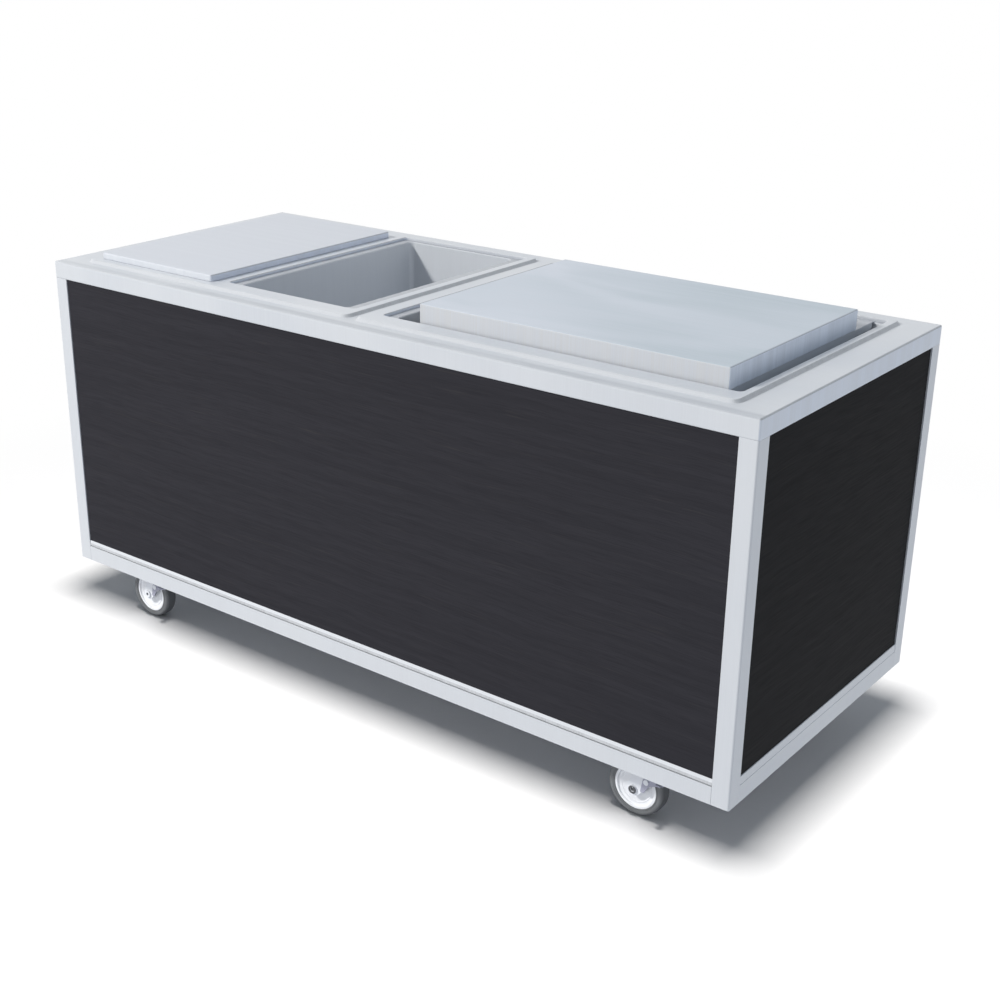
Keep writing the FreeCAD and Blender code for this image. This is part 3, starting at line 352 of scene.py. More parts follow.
# ---------------------------------------------------------------- materials
class Shading:
    """A node tree under way: nodes with values and links, added step by step."""

    def __init__(self, tree):
        self.tree = tree

    def add(self, kind, settings=(), **inputs):
        node = self.tree.nodes.new(kind)
        for key, value in dict(settings).items():
            setattr(node, key, value)
        for key, value in inputs.items():
            self.join(node.inputs[key.replace("_", " ")], value)
        return node

    def join(self, socket, value):
        if isinstance(value, bpy.types.NodeSocket):
            self.tree.links.new(value, socket)
        else:
            socket.default_value = value

    def place(self, scale=(1, 1, 1), turn=(0, 0, 0)):
        """Object coordinates stretched by the scale."""
        spot = self.add("ShaderNodeTexCoord").outputs["Object"]
        return self.add("ShaderNodeMapping", Vector=spot, Scale=scale, Rotation=turn).outputs["Vector"]

    def noise(self, where, scale=1.0, detail=2.0, rough=0.5, distortion=0.0):
        return self.add("ShaderNodeTexNoise", Vector=where, Scale=scale, Detail=detail, Roughness=rough,
                        Distortion=distortion).outputs["Fac"]

    def spread(self, value, low, high, to_low=0.0, to_high=1.0):
        node = self.add("ShaderNodeMapRange", (("interpolation_type", "SMOOTHSTEP"),))
        for key, number in zip(("Value", "From Min", "From Max", "To Min", "To Max"),
                               (value, low, high, to_low, to_high)):
            self.join(node.inputs[key], number)
        return node.outputs["Result"]

    def maths(self, operation, first, second=0.0):
        node = self.add("ShaderNodeMath", (("operation", operation),))
        self.join(node.inputs[0], first)
        self.join(node.inputs[1], second)
        return node.outputs[0]

    def sum(self, first, second):
        return self.maths("ADD", first, second)

    def times(self, first, second):
        return self.maths("MULTIPLY", first, second)

    def brushing(self, is_level, along, scales, **look):
        """Streaks along one axis on level faces and upright on walls."""
        across, level_run, upright_run = scales
        level = self.noise(self.place(tuple(level_run if axis else across for axis in along)), **look)
        upright = self.noise(self.place((across, across, upright_run)), **look)
        return self.chosen(is_level, upright, level)

    def mixed(self, share_of, first, second):
        """Colour between two others."""
        node = self.add("ShaderNodeMix", (("data_type", "RGBA"),))
        self.join(node.inputs[0], share_of)
        self.join(node.inputs[6], first)
        self.join(node.inputs[7], second)
        return node.outputs[2]

    def chosen(self, share_of, first, second):
        """Number between two others."""
        node = self.add("ShaderNodeMix", (("data_type", "FLOAT"),))
        self.join(node.inputs[0], share_of)
        self.join(node.inputs[2], first)
        self.join(node.inputs[3], second)
        return node.outputs[0]

    def blended(self, share_of, first, second):
        """Shader between two others."""
        node = self.add("ShaderNodeMixShader")
        for socket, value in zip(node.inputs, (share_of, first, second)):
            self.join(socket, value)
        return node.outputs[0]

    def seen_directly(self):
        """1 for rays from the camera, a gloss or a clear body."""
        path = self.add("ShaderNodeLightPath").outputs
        seen = self.maths("MAXIMUM", path["Is Camera Ray"], path["Is Glossy Ray"])
        return self.maths("MAXIMUM", seen, path["Is Transmission Ray"])


class Finish(Shading):
    """A material whose shader takes what the steps make."""

    def __init__(self, name):
        self.material = bpy.data.materials.new(name)
        self.material.use_nodes = True
        super().__init__(self.material.node_tree)
        self.shader = self.tree.nodes["Principled BSDF"]

    def bump(self, height, depth, strength):
        node = self.add("ShaderNodeBump", Height=height, Distance=depth, Strength=strength)
        self.join(self.shader.inputs["Normal"], node.outputs["Normal"])

    def set(self, **inputs):
        for key, value in inputs.items():
            self.join(self.shader.inputs[key.replace("_", " ")], value)


def tone(rgb, by=1.0):
    return tuple(c * by for c in rgb) + (1.0,)


def satin_steel(name, base, haze, along=(1, 0, 0), haze_scale=2.4, haze_share=0.7, rough=None, lit_wall_tone=None,
                stretch=(1.0, 1.25, 1.0), haze_range=(0.34, 0.72), painted_front_edge=None, shaded_level_tone=None, fade=None,
                shade_below=None, lit_right_tone=None):
    """Satin sheet: fine brushing along one axis on level faces and upright on walls, with a soft haze.

    The front edge, when given, is the y at which a darker strip along the front edge of the level faces ends: a
    painted reflection. The slopes that face the front are a little darker too: painted shade. The shade run gives
    the x from which and to which the haze grows: painted shade towards the right. The faces under the shade height
    are darker: painted shade. The lit wall tone is the colour of the walls and the lit right tone that of the
    upright faces on the right, both painted light, while slopes that face the right are painted shade. The shaded
    level tone is the colour of the level faces: painted shade."""
    values = finishes()
    made = Finish(name)
    spot = made.add("ShaderNodeSeparateXYZ", Vector=made.add("ShaderNodeTexCoord").outputs["Object"]).outputs
    normal = made.add("ShaderNodeNewGeometry").outputs["True Normal"]
    way = made.add("ShaderNodeSeparateXYZ", Vector=normal).outputs
    is_level = made.spread(made.maths("ABSOLUTE", way["Z"]), 0.4, 0.8)
    brush = made.brushing(is_level, along, FINE_BRUSHING, detail=3.0, rough=0.6)
    wide = made.brushing(is_level, along, WIDE_BANDS, detail=2.0)
    cloud = made.noise(made.place(stretch, (0.0, 0.0, 0.25)), scale=haze_scale, detail=2.5, rough=0.45,
                       distortion=0.6)
    patches = made.spread(cloud, *haze_range, 0.0, haze_share)
    # painted shade: with a run given, the haze grows towards the right end
    if fade:
        across = made.sum(spot["X"], made.times(cloud, 0.5))
        patches = made.sum(made.times(patches, 0.5), made.spread(across, *fade, 0.0, 0.55))
    ground = made.mixed(patches, tone(base), tone(haze))
    # painted shade: the level faces get the darker level colour
    if shaded_level_tone:
        ground = made.mixed(is_level, ground, tone(shaded_level_tone))
    # painted shade: slopes that face the front are darker; painted reflection: a patchy darker strip along the front
    # edge of the level faces
    if painted_front_edge is not None:
        slope = made.spread(made.times(way["Y"], -1.0), 0.15, 0.6)
        slope = made.times(slope, made.spread(way["Z"], 0.2, 0.4))
        ground = made.mixed(slope, ground, tone(base, 0.84))
        strip = made.spread(spot["Y"], painted_front_edge - 0.008, painted_front_edge + 0.008, 1.0, 0.0)
        dark_reflection = made.spread(made.noise(made.place((2.6, 1.0, 1.0)), detail=2.0), 0.42, 0.62, 0.95, 0.55)
        dark_reflection = made.times(made.times(strip, dark_reflection), is_level)
        ground = made.mixed(dark_reflection, ground, tone(haze, FRONT_REFLECTION))
    # painted shade: the faces under the given height are darker
    if shade_below is not None:
        lower = made.spread(spot["Z"], shade_below - 0.001, shade_below + 0.001, 1.0, 0.0)
        ground = made.mixed(lower, ground, tone(base, SHADED_SHARE))
    # painted light: the walls get their lit colour
    if lit_wall_tone:
        ground = made.mixed(is_level, tone(lit_wall_tone), ground)
    # painted light: upright faces on the right get their lit colour; painted shade: slopes that face the right are
    # darker
    if lit_right_tone:
        end = made.mixed(made.spread(way["Z"], 0.10, 0.35), tone(lit_right_tone), tone(base, SHADED_SHARE))
        ground = made.mixed(made.spread(way["X"], 0.25, 0.6), ground, end)
    ground = made.mixed(made.spread(wide, 0.3, 0.7, 0.0, 0.30), ground, tone(base, 0.93))
    ground = made.mixed(made.spread(brush, 0.28, 0.72, 0.0, 0.35), ground, tone(base, 1.06))
    middle = values.steel_rough if rough is None else rough
    streaks = made.sum(brush, made.times(patches, 0.25))
    made.set(Base_Color=ground, Metallic=values.metallic,
             Roughness=made.spread(streaks, 0.2, 0.9, middle - 0.06, middle + 0.08))
    made.bump(brush, 0.00004, 0.5)
    return made.material


def wood_laminate(name, along_y, shade):
    """Dark laminate with level, slightly wavering grain, open pores and pale brown streaks. Its colours are scaled
    by the shade, and the darker copy for the end panels is painted shade.
    """
    values = finishes()
    plain, dark, light = (tuple(c * by for c, by in zip(rgb, shade)) for rgb in
                          (values.laminate, values.laminate_dark, values.laminate_light))
    made = Finish(name)
    turn = (0, 0, math.radians(90)) if along_y else (0, 0, 0)
    spot = made.place(turn=turn)
    wander = made.noise(spot, scale=1.7, detail=2.0, distortion=0.3)
    ripple = made.noise(made.place((5.0, 5.0, 9.0), turn), detail=1.0)
    parts = made.add("ShaderNodeSeparateXYZ", Vector=spot).outputs
    drift = made.sum(made.times(wander, 0.035), made.times(ripple, 0.003))
    height = made.sum(parts["Z"], drift)

    def grain(run, rise, rough):
        where = made.add("ShaderNodeCombineXYZ", X=made.times(parts["X"], run), Y=made.times(parts["Y"], 3.0),
                         Z=made.times(height, rise)).outputs["Vector"]
        return made.noise(where, detail=3.0, rough=rough)

    pores = grain(14.0, 640.0, 0.62)
    bands = grain(1.6, 62.0, 0.6)
    streaks = grain(6.0, 210.0, 0.7)
    ground = made.mixed(made.spread(bands, 0.32, 0.70), tone(plain, 0.93), tone(plain, 1.07))
    ground = made.mixed(made.spread(streaks, 0.56, 0.78, 0.0, 0.45), ground, tone(light))
    ground = made.mixed(made.spread(pores, 0.36, 0.54, 0.40, 0.0), ground, tone(dark))
    made.set(Base_Color=ground, Specular_IOR_Level=0.02,
             Roughness=made.spread(pores, 0.3, 0.7, values.laminate_rough + 0.08, values.laminate_rough - 0.03))
    made.bump(made.sum(pores, made.times(streaks, 0.6)), 0.00010, 0.4)
    return made.material


def moulded(name, base, rough, speckle=0.06, grain_scale=900.0, grain_depth=0.00003, wear=0.0):
    """Moulded or coated finish: faint mottling, fine texture and a little grime."""
    made = Finish(name)
    mottle = made.noise(made.place(), scale=38.0, detail=3.0)
    fine = made.noise(made.place(), scale=grain_scale, detail=2.0)
    grime = made.noise(made.place(), scale=11.0, detail=3.0, rough=0.6)
    ground = made.mixed(made.spread(mottle, 0.3, 0.7), tone(base, 1.0 - speckle), tone(base, 1.0 + speckle))
    ground = made.mixed(made.spread(grime, 0.5, 0.8, 0.0, wear), ground, tone(base, 0.6))
    made.set(Base_Color=ground, Roughness=made.spread(mottle, 0.2, 0.8, rough - 0.05, rough + 0.05))
    made.bump(fine, grain_depth, 0.6)
    return made.material


def plated(name, base, rough, metallic=0.75, scale=55.0):
    """Plated or cast metal with a soft spangle."""
    made = Finish(name)
    spangle = made.add("ShaderNodeTexVoronoi", Vector=made.place(), Scale=scale * 6).outputs["Distance"]
    cloud = made.noise(made.place(), scale=scale, detail=3.0)
    ground = made.mixed(made.spread(cloud, 0.3, 0.7), tone(base, 0.9), tone(base, 1.08))
    ground = made.mixed(made.spread(spangle, 0.1, 0.6, 0.0, 0.2), ground, tone(base, 0.8))
    made.set(Base_Color=ground, Metallic=metallic,
             Roughness=made.spread(cloud, 0.25, 0.75, rough - 0.07, rough + 0.07))
    made.bump(cloud, 0.00003, 0.5)
    return made.material


def cellular(name, base):
    """Cut foam with small open cells."""
    made = Finish(name)
    cells = made.add("ShaderNodeTexVoronoi", Vector=made.place(), Scale=700.0).outputs["Distance"]
    cloud = made.noise(made.place(), scale=24.0, detail=3.0)
    ground = made.mixed(made.spread(cells, 0.1, 0.7), tone(base, 0.8), tone(base, 1.05))
    ground = made.mixed(made.spread(cloud, 0.35, 0.7, 0.0, 0.3), ground, tone(base, 0.85))
    made.set(Base_Color=ground, Roughness=0.9)
    made.bump(cells, 0.0003, 0.8)
    return made.material


def mix_finishes():
    """All finishes, by name."""
    v = finishes()
    strip_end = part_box("counter_top")[0].y + shapes().front_reflection_strip
    # the counter gets a painted reflection along its front edge, and painted light and shade on its right end
    FINISH["counter"] = satin_steel("counter_steel", v.steel, v.steel_cloud, painted_front_edge=strip_end,
                                    lit_right_tone=v.steel_end_lit)
    FINISH["frame"] = satin_steel("frame_steel", v.steel, v.steel_cloud, haze_scale=1.6, haze_share=0.35)
    # the front trim's lower part is painted in shade
    FINISH["trim"] = satin_steel("trim_steel", tuple(min(1.0, c * 1.12) for c in v.steel), v.steel, haze_share=0.3,
                                 rough=0.34, shade_below=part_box("front_retainer")[0].z + shapes().trim_shade_height)
    FINISH["end_trim"] = satin_steel("end_trim_steel", v.steel, v.steel_cloud, (0, 1, 0), 1.6, 0.35)
    # the wells' level faces are painted in shade
    FINISH["well"] = satin_steel("well_steel", v.well_steel, v.steel_cloud, haze_share=0.5, shaded_level_tone=v.well_ledges_shaded)
    # painted light: the lid's upright edges and right edge get lit colours
    FINISH["lid"] = satin_steel("lid_steel", v.lid_steel, v.steel, haze_scale=1.5, haze_share=0.3,
                                lit_wall_tone=v.lid_walls_lit, lit_right_tone=v.lid_end_lit)
    # painted light on the cover's walls and right side; painted shade on its top, growing towards the right
    FINISH["cover"] = satin_steel("cover_steel", v.cover_steel, v.cover_haze, haze_scale=2.0, haze_share=1.0,
                                  lit_wall_tone=v.cover_walls_lit, stretch=(1.0, 2.4, 1.0), haze_range=(0.36, 0.60),
                                  fade=(0.40, 0.85), lit_right_tone=v.cover_end_lit)
    FINISH["storage"] = satin_steel("storage_steel", tuple(c * 0.9 for c in v.steel), v.steel_cloud,
                                    haze_share=0.5, rough=0.5)
    FINISH["casing"] = plated("casing_steel", tuple(c * 0.86 for c in v.zinc), 0.48, metallic=0.6, scale=30.0)
    # the end panels get a darker copy of the laminate: painted shade
    FINISH["laminate"] = wood_laminate("front_laminate", False, (1.0, 1.0, 1.0))
    FINISH["laminate_y"] = wood_laminate("shaded_end_laminate", True, v.shaded_end_laminate)
    FINISH["wheel"] = moulded("wheel_plastic", v.wheel, 0.42, wear=0.15)
    FINISH["rubber"] = moulded("tyre_rubber", v.rubber, 0.72, speckle=0.1, grain_scale=1400.0,
                               grain_depth=0.00006, wear=0.35)
    FINISH["fork"] = moulded("fork_coating", v.fork, 0.40, speckle=0.03, wear=0.1)
    FINISH["lever"] = moulded("lever_coating", v.lever, 0.4, speckle=0.04, wear=0.2)
    FINISH["grip"] = moulded("valve_grip", v.grip, 0.45, speckle=0.08)
    FINISH["zinc"] = plated("zinc_plate", v.zinc, 0.38)
    FINISH["bolt"] = plated("dark_bolt", v.bolt, 0.42)
    FINISH["brass"] = plated("cast_brass", v.brass, 0.34, metallic=0.9)
    FINISH["foam"] = cellular("insulating_foam", v.foam)


# ---------------------------------------------------------------- pieces
def opening_of(well):
    """Outline of a well's opening in the counter, from the flange that reaches under its rim."""
    return grown(rectangle(*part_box(f"{well}_well_liner")), -shapes().flange_under)


class SALADBAR_OT_finishes(bpy.types.Operator):
    """Mix the steel, laminate, rubber, plastic and metal finishes"""
    bl_idname = "saladbar.finishes"
    bl_label = "Finishes"

    def execute(self, context):
        mix_finishes()
        return {"FINISHED"}


class SALADBAR_OT_counter(bpy.types.Operator):
    """Form the counter sheet with its apron, soft rims and lipped openings"""
    bl_idname = "saladbar.counter"
    bl_label = "Counter"

    def execute(self, context):
        s = shapes()
        low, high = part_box("counter_top")
        top, flat = high.z, high.z - s.rim_height
        bm = bmesh.new()
        r = s.counter_corner
        apron = [(0.0, low.z), (0.0, low.z + HEM_STRIP)] + fold(r, flat - r, r, 0, 90)
        outer = lofted(bm, rectangle(low, high), apron, r)[1]
        openings = {well: opening_of(well) for well in WELLS}
        gap_left = openings["middle"][1] + s.middle_land + s.rim_slope
        gap_right = openings["right"][0] - s.right_land - s.rim_slope
        front, rear = low.y + s.rim_foot_y, high.y - s.rim_foot_y
        rims = {(low.x + s.rim_foot_x, gap_left, front, rear): ("left", "middle"),
                (gap_right, high.x - s.rim_foot_x, front, rear): ("right",)}
        run = s.rim_slope - 2 * s.rim_ease
        slope = [(run * t + s.rim_ease, flat + s.rim_height * t ** 3 * (t * (6 * t - 15) + 10))
                 for t in (k / SLOPE_STEPS for k in range(SLOPE_STEPS + 1))]      # level at the foot and the crest
        lip = fold(-s.lip_radius, top - s.lip_radius, s.lip_radius, 90, 180, steps=4) + [(0.0, flat + LIP_GAP)]
        feet = []
        for foot, wells in rims.items():
            base, crest = lofted(bm, foot, slope, s.rim_corner)
            feet.append(base)
            lips = [lofted(bm, openings[well], lip, s.opening_corner)[0] for well in wells]
            plate(bm, crest, *lips)
        plate(bm, outer, *feet)
        facing(bm, (0, 0, 1))
        TOP_PIECES.append(finished(bm, "counter_sheet", "counter_top", FINISH["counter"], thick=s.gauge))
        return {"FINISHED"}


class SALADBAR_OT_wells(bpy.types.Operator):
    """Draw the three wells with ledges, drain holes, casings and strainers"""
    bl_idname = "saladbar.wells"
    bl_label = "Wells"

    def execute(self, context):
        s = shapes()
        for well in WELLS:
            self.pan(well, s)
            self.casing(well, s)
        refined("drain_strainers", FINISH["well"], s.fitting_edge * 0.5)
        return {"FINISHED"}

    def pan(self, well, s):
        """Pan with a flange under the counter, a ledge, leaning walls and a rounded floor with a drain hole."""
        low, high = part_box(f"{well}_well_liner")
        flat, floor = high.z, low.z + LINER_GAUGE
        deep = grown(rectangle(*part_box(f"{well}_well_casing")), -s.wall_build)
        bm = bmesh.new()
        e, b = s.ledge_edge, s.well_bottom
        edge = fold(-e, flat - e, e, 90, 180, steps=4)
        wall = [(s.well_draft * k / WALL_STEPS, flat - e + (floor + b - flat + e) * k / WALL_STEPS)
                for k in range(1, WALL_STEPS + 1)]
        bottom = fold(s.well_draft + b, floor + b, b, 0, -90, steps=6)[1:]
        upper, lowest = lofted(bm, deep, edge + wall + bottom, s.well_corner)
        flange = ring(bm, grown(opening_of(well), s.flange_under), flat, s.opening_corner + s.flange_under)
        plate(bm, flange, upper)
        plate(bm, lowest, drain_hole(bm, deep, floor))
        facing(bm, (0, 0, 1))
        TOP_PIECES.append(finished(bm, f"{well}_well_pan", f"{well}_well_liner", FINISH["well"], thick=LINER_GAUGE))

    def casing(self, well, s):
        """Box round the insulation, open at the top, with a drain hole."""
        low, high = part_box(f"{well}_well_casing")
        outline, r = rectangle(low, high), CASING_BEND
        bm = bmesh.new()
        profile = fold(r, low.z + r, r, -90, 0, steps=3) + [(0.0, high.z)]
        base = lofted(bm, outline, profile, s.well_corner)[0]
        plate(bm, base, drain_hole(bm, outline, low.z))
        facing(bm, (0, 0, -1))
        TOP_PIECES.append(finished(bm, f"{well}_casing_box", f"{well}_well_casing", FINISH["casing"],
                                   thick=CASING_GAUGE))


class SALADBAR_OT_lids(bpy.types.Operator):
    """Fold the flat left lid with its plug, the box cover and the bars that carry it"""
    bl_idname = "saladbar.lids"
    bl_label = "Lids"

    def execute(self, context):
        s = shapes()
        low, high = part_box("left_lid_skin")
        bm = bmesh.new()
        r = s.lid_edge
        skin = [(0.0, low.z), (0.0, low.z + HEM_STRIP)] + fold(r, high.z - r, r, 0, 90)
        plate(bm, lofted(bm, rectangle(low, high), skin, s.lid_corner)[1])
        facing(bm, (0, 0, 1))
        finished(bm, "flat_lid_skin", "left_lid_skin", FINISH["lid"], thick=s.gauge)
        refined("left_lid_plug", FINISH["wheel"], PLUG_EDGE)

        low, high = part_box("right_cover")
        bm = bmesh.new()
        r = s.cover_corner
        shell = [(s.cover_hem, low.z)] + fold(r, low.z + r, r, -90, 0, steps=3) + fold(r, high.z - r, r, 0, 90)
        plate(bm, lofted(bm, rectangle(low, high), shell, r)[1])
        facing(bm, (0, 0, 1))
        finished(bm, "box_cover", "right_cover", FINISH["cover"], thick=s.gauge)
        refined("adapter_bars", FINISH["well"], s.sheet_edge)
        return {"FINISHED"}


class SALADBAR_OT_frame(bpy.types.Operator):
    """Round the edges of the welded tube frame, its braces and caster channels"""
    bl_idname = "saladbar.frame"
    bl_label = "Frame"

    def execute(self, context):
        s = shapes()
        for corner in CASTERS:
            refined(f"{corner}_post", FINISH["frame"], s.tube_edge)
        refined("lower_rails", FINISH["frame"], s.tube_edge * 0.5)
        refined("upper_rails", FINISH["storage"], s.sheet_edge)
        refined("counter_braces", FINISH["storage"], s.sheet_edge)
        refined("caster_channels", FINISH["storage"], s.sheet_edge)
        return {"FINISHED"}


class SALADBAR_OT_panels(bpy.types.Operator):
    """Finish the wood-grain panels and the strips along their lower edges"""
    bl_idname = "saladbar.panels"
    bl_label = "Panels"

    def execute(self, context):
        s = shapes()
        refined("front_panel", FINISH["laminate"], s.board_edge)
        refined("left_panel", FINISH["laminate_y"], s.board_edge)
        refined("right_panel", FINISH["laminate_y"], s.board_edge)
        for side, finish in (("front", "trim"), ("left", "end_trim"), ("right", "end_trim")):
            refined(f"{side}_retainer", FINISH[finish], s.sheet_edge, edge_angle=20.0, crease=20.0)
        return {"FINISHED"}


class SALADBAR_OT_storage(bpy.types.Operator):
    """Finish the open storage: deck, partition, shelves and their cleats"""
    bl_idname = "saladbar.storage"
    bl_label = "Storage"

    def execute(self, context):
        for node in ("bottom_deck", "divider_panel", "left_shelf", "right_shelf", "shelf_cleats"):
            refined(node, FINISH["storage"], shapes().sheet_edge)
        return {"FINISHED"}


class SALADBAR_OT_drains(bpy.types.Operator):
    """Finish the drain nuts, pipes, valves and valve levers"""
    bl_idname = "saladbar.drains"
    bl_label = "Drains"

    def execute(self, context):
        edge = shapes().fitting_edge
        refined("drain_nuts", FINISH["brass"], edge)
        refined("drain_pipes", FINISH["brass"], edge * 0.5)
        refined("drain_valves", FINISH["brass"], edge)
        for well in WELLS:
            refined(f"{well}_valve_handle", FINISH["grip"], edge)
        return {"FINISHED"}


class SALADBAR_OT_casters(bpy.types.Operator):
    """Turn the tyres and wheel centres and finish the forks, axles, brake levers, plates and bolts"""
    bl_idname = "saladbar.casters"
    bl_label = "Casters"

    def execute(self, context):
        s = shapes()
        for caster in CASTERS:
            low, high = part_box(f"{caster}_tyre")
            centre = (low + high) / 2
            outer, half = (high.z - low.z) / 2, (high.y - low.y) / 2
            axle = refined(f"{caster}_axle", FINISH["fork"], s.fitting_edge * 0.5)
            # painted shade in the socket of the axle's head
            self.paint_socket_shade(axle, centre, s.socket_shade_radius)
            CASTER_PIECES.extend([self.tyre(caster, centre, outer, half), self.hub(caster, centre, half),
                                  refined(f"{caster}_fork", FINISH["fork"], s.fitting_edge), axle,
                                  refined(f"{caster}_brake_lever", FINISH["lever"], s.fitting_edge)])
        refined("caster_plates", FINISH["zinc"], s.fitting_edge)
        refined("caster_bolts", FINISH["zinc"], s.fitting_edge)
        return {"FINISHED"}

    def tyre(self, caster, centre, outer, half):
        """Tread with round shoulders, a fine parting ridge and a moulded line on each side."""
        flat, line = outer - TREAD_RIDGE, -half + 0.0007
        side = [(TYRE_SEAT, -half), (TYRE_SEAT + 0.0022, -half), (TYRE_SEAT + 0.0026, line),
                (TYRE_SEAT + 0.0034, line), (TYRE_SEAT + 0.0038, -half)]
        arc = [(flat - TYRE_SHOULDER + TYRE_SHOULDER * math.sin(a),
                -half + TYRE_SHOULDER - TYRE_SHOULDER * math.cos(a))
               for a in (math.radians(90 * k / SHOULDER_STEPS) for k in range(SHOULDER_STEPS + 1))]
        ridge = [(flat, -0.0006), (outer, -0.0002)]
        bm = bmesh.new()
        turned(bm, side + arc + ridge, centre, TYRE_STEPS)
        return finished(bm, f"{caster}_tread", f"{caster}_tyre", FINISH["rubber"], crease=38.0)

    def hub(self, caster, centre, half):
        """Disc with a boss round the axle, a dished face with a fine ring, and a rolled rim."""
        face, dish, boss = half - 0.0015, half - 0.0055, 0.0192
        around_axle = [(0.00605, -boss), (0.0125, -boss), (0.0130, -boss + 0.0005), (0.0136, -dish - 0.0008)]
        dished = [(0.0150, -dish), (0.0330, -dish), (0.0338, -dish - 0.0007), (0.0352, -dish - 0.0007),
                  (0.0360, -dish), (0.0400, -dish)]
        rim = [(0.0418, -dish - 0.0008), (0.0426, -face + 0.0006), (0.0434, -face), (0.0476, -face),
               (TYRE_SEAT - 0.0001, -face + 0.0006)]
        bm = bmesh.new()
        turned(bm, around_axle + dished + rim, centre, DISC_STEPS)
        return finished(bm, f"{caster}_wheel_disc", f"{caster}_hub", FINISH["wheel"], crease=38.0)

    def paint_socket_shade(self, axle, centre, radius):
        """Painted shade: the dark bolt colour on the faces of the axle within the radius about its axis, at the
        bottom of its socket.
        """
        axle.data.materials.append(FINISH["bolt"])
        for face in axle.data.polygons:
            away = face.center - centre
            face.material_index = int(math.hypot(away.x, away.z) < radius)


# ---------------------------------------------------------------- studio
def lamp(name, place, aim, size, strength, receivers, tint=WHITE, shades=None):
    """Soft rectangular lamp for the receivers, shaded by the shades or, without them, by everything.

    The strength is what a white surface facing it shows."""
    data = bpy.data.lights.new(name, "AREA")
    data.shape = "RECTANGLE"
    data.size, data.size_y = size
    reach = Vector(aim) - Vector(place)
    data.energy = strength * math.pi ** 2 * reach.length_squared
    data.color = tint
    piece = bpy.data.objects.new(name, data)
    piece.location = place
    piece.rotation_euler = reach.to_track_quat("-Z", "Y").to_euler()
    bpy.context.scene.collection.objects.link(piece)
    piece.visible_camera = False
    piece.visible_glossy = False
    piece.light_linking.receiver_collection = receivers
    if shades:
        piece.light_linking.blocker_collection = shades


def group_of(name, members, state):
    """Light linking group of only the members (INCLUDE) or of all but the members (EXCLUDE)."""
    group = bpy.data.collections.new(name)
    for member in members:
        group.objects.link(member)
    for link in group.collection_objects:
        link.light_linking.link_state = state
    return group


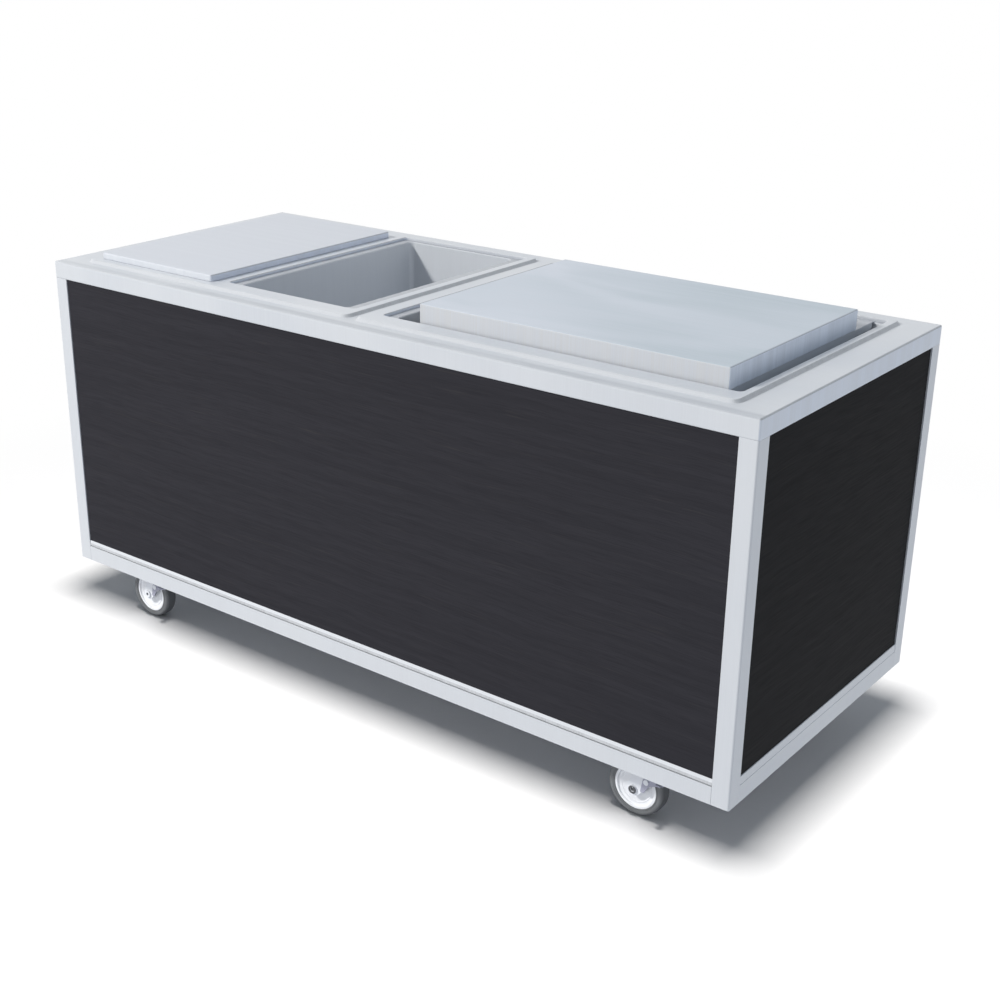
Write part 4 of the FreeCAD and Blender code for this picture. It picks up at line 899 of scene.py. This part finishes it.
class SALADBAR_OT_stage(bpy.types.Operator):
    """Set the floor, the soft lamps, the white surroundings and the camera"""
    bl_idname = "saladbar.stage"
    bl_label = "Studio"

    def execute(self, context):
        scene = context.scene
        values = scene.salad_bar_stage
        scene.view_settings.view_transform = "Standard"
        self.surroundings(scene, values)
        ground = self.floor(scene, values)
        piece = group_of("all_but_floor", [ground], "EXCLUDE")
        for name, (place, aim, size, tint) in SOFT_LAMPS.items():
            lamp(f"{name}_lamp", place, aim, size, getattr(values, name), piece, tint)
        lamp("low_lamp", (0.4, -5.2, 0.9), (0.0, 0.0, 0.1), (3.0, 1.2), values.low,
             group_of("caster_pieces", CASTER_PIECES, "INCLUDE"))
        lamp("downlight", DOWNLIGHT_PLACE, DOWNLIGHT_FOOT, (values.downlight_size,) * 2, values.downlight,
             group_of("floor_only", [ground], "INCLUDE"),
             shades=group_of("floor_shades", CASTER_PIECES + TOP_PIECES, "INCLUDE"))
        self.camera(scene, values)
        return {"FINISHED"}

    def surroundings(self, scene, values):
        """Plain white to the eye, and an even cool light for the object."""
        world = bpy.data.worlds.new("white_room")
        world.use_nodes = True
        room = Shading(world.node_tree)
        even = room.tree.nodes["Background"]
        room.join(even.inputs["Color"], tone(SKY_TINT))
        room.join(even.inputs["Strength"], values.sky)
        bright = room.add("ShaderNodeBackground", Color=tone(WHITE))
        chosen = room.blended(room.seen_directly(), even.outputs[0], bright.outputs[0])
        room.join(room.tree.nodes["World Output"].inputs["Surface"], chosen)
        scene.world = world

    def floor(self, scene, values):
        """Floor that is paler as it is seen than in the light that it throws back."""
        bm = bmesh.new()
        bmesh.ops.create_grid(bm, x_segments=8, y_segments=8, size=FLOOR_HALF)
        mesh = bpy.data.meshes.new("studio_floor")
        bm.to_mesh(mesh)
        bm.free()
        ground = bpy.data.objects.new("studio_floor", mesh)
        scene.collection.objects.link(ground)
        pale = Finish("pale_floor")
        pale.tree.nodes.remove(pale.shader)
        plain, white = (pale.add("ShaderNodeBsdfDiffuse", Color=tone(rgb)).outputs[0]
                        for rgb in (values.floor, values.floor_seen))
        seen = self.running_out(pale, white, values.floor_reach)
        surface = pale.blended(pale.seen_directly(), plain, seen)
        pale.join(pale.tree.nodes["Material Output"].inputs["Surface"], surface)
        mesh.materials.append(pale.material)
        return ground

    def running_out(self, made, near, reach):
        """The near shader, running out into plain white between two thirds of the reach and the reach."""
        spot = made.add("ShaderNodeTexCoord").outputs["Object"]
        distance = made.add("ShaderNodeVectorMath", (("operation", "LENGTH"),), Vector=spot).outputs["Value"]
        fade = made.spread(distance, reach * 2 / 3, reach)
        return made.blended(fade, near, made.add("ShaderNodeEmission").outputs[0])

    def camera(self, scene, values):
        data = bpy.data.cameras.new("photo_camera")
        data.lens = values.lens
        data.sensor_width = SENSOR_WIDTH
        data.shift_x, data.shift_y = values.shift_x, values.shift_y
        data.clip_end = FARTHEST
        eye = bpy.data.objects.new("photo_camera", data)
        eye.location = values.eye
        eye.rotation_euler = Vector(values.gaze).to_track_quat("-Z", "Y").to_euler()
        scene.collection.objects.link(eye)
        scene.camera = eye


class SALADBAR_PT_sidebar(bpy.types.Panel):
    """Steps that build the salad bar"""
    bl_idname = "SALADBAR_PT_sidebar"
    bl_label = "Mobile salad bar"
    bl_space_type = "VIEW_3D"
    bl_region_type = "UI"
    bl_category = "Salad bar"

    def draw(self, context):
        for step in STEPS:
            self.layout.operator(step.bl_idname)
        for group in (context.scene.salad_bar_shapes, context.scene.salad_bar_finishes,
                      context.scene.salad_bar_stage):
            box = self.layout.box()
            for key in group.__annotations__:
                box.prop(group, key)


STEPS = (SALADBAR_OT_finishes, SALADBAR_OT_counter, SALADBAR_OT_wells, SALADBAR_OT_lids, SALADBAR_OT_frame,
         SALADBAR_OT_panels, SALADBAR_OT_storage, SALADBAR_OT_drains, SALADBAR_OT_casters, SALADBAR_OT_stage)
GROUPS = {"salad_bar_shapes": SaladBarShapes, "salad_bar_finishes": SaladBarFinishes,
          "salad_bar_stage": SaladBarStage}


def register():
    for group in GROUPS.values():
        bpy.utils.register_class(group)
    for name, group in GROUPS.items():
        setattr(bpy.types.Scene, name, PointerProperty(type=group))
    for step in STEPS:
        bpy.utils.register_class(step)
    bpy.utils.register_class(SALADBAR_PT_sidebar)


def unregister():
    bpy.utils.unregister_class(SALADBAR_PT_sidebar)
    for step in reversed(STEPS):
        bpy.utils.unregister_class(step)
    for name, group in GROUPS.items():
        delattr(bpy.types.Scene, name)
        bpy.utils.unregister_class(group)


def main():
    register()
    for step in STEPS:
        getattr(bpy.ops.saladbar, step.bl_idname.split(".")[1])()
    for node, finish in CAD_MESH_FINISHES.items():
        NODES[node].data.materials.clear()
        NODES[node].data.materials.append(FINISH[finish])


if __name__ == "__main__":
    main()
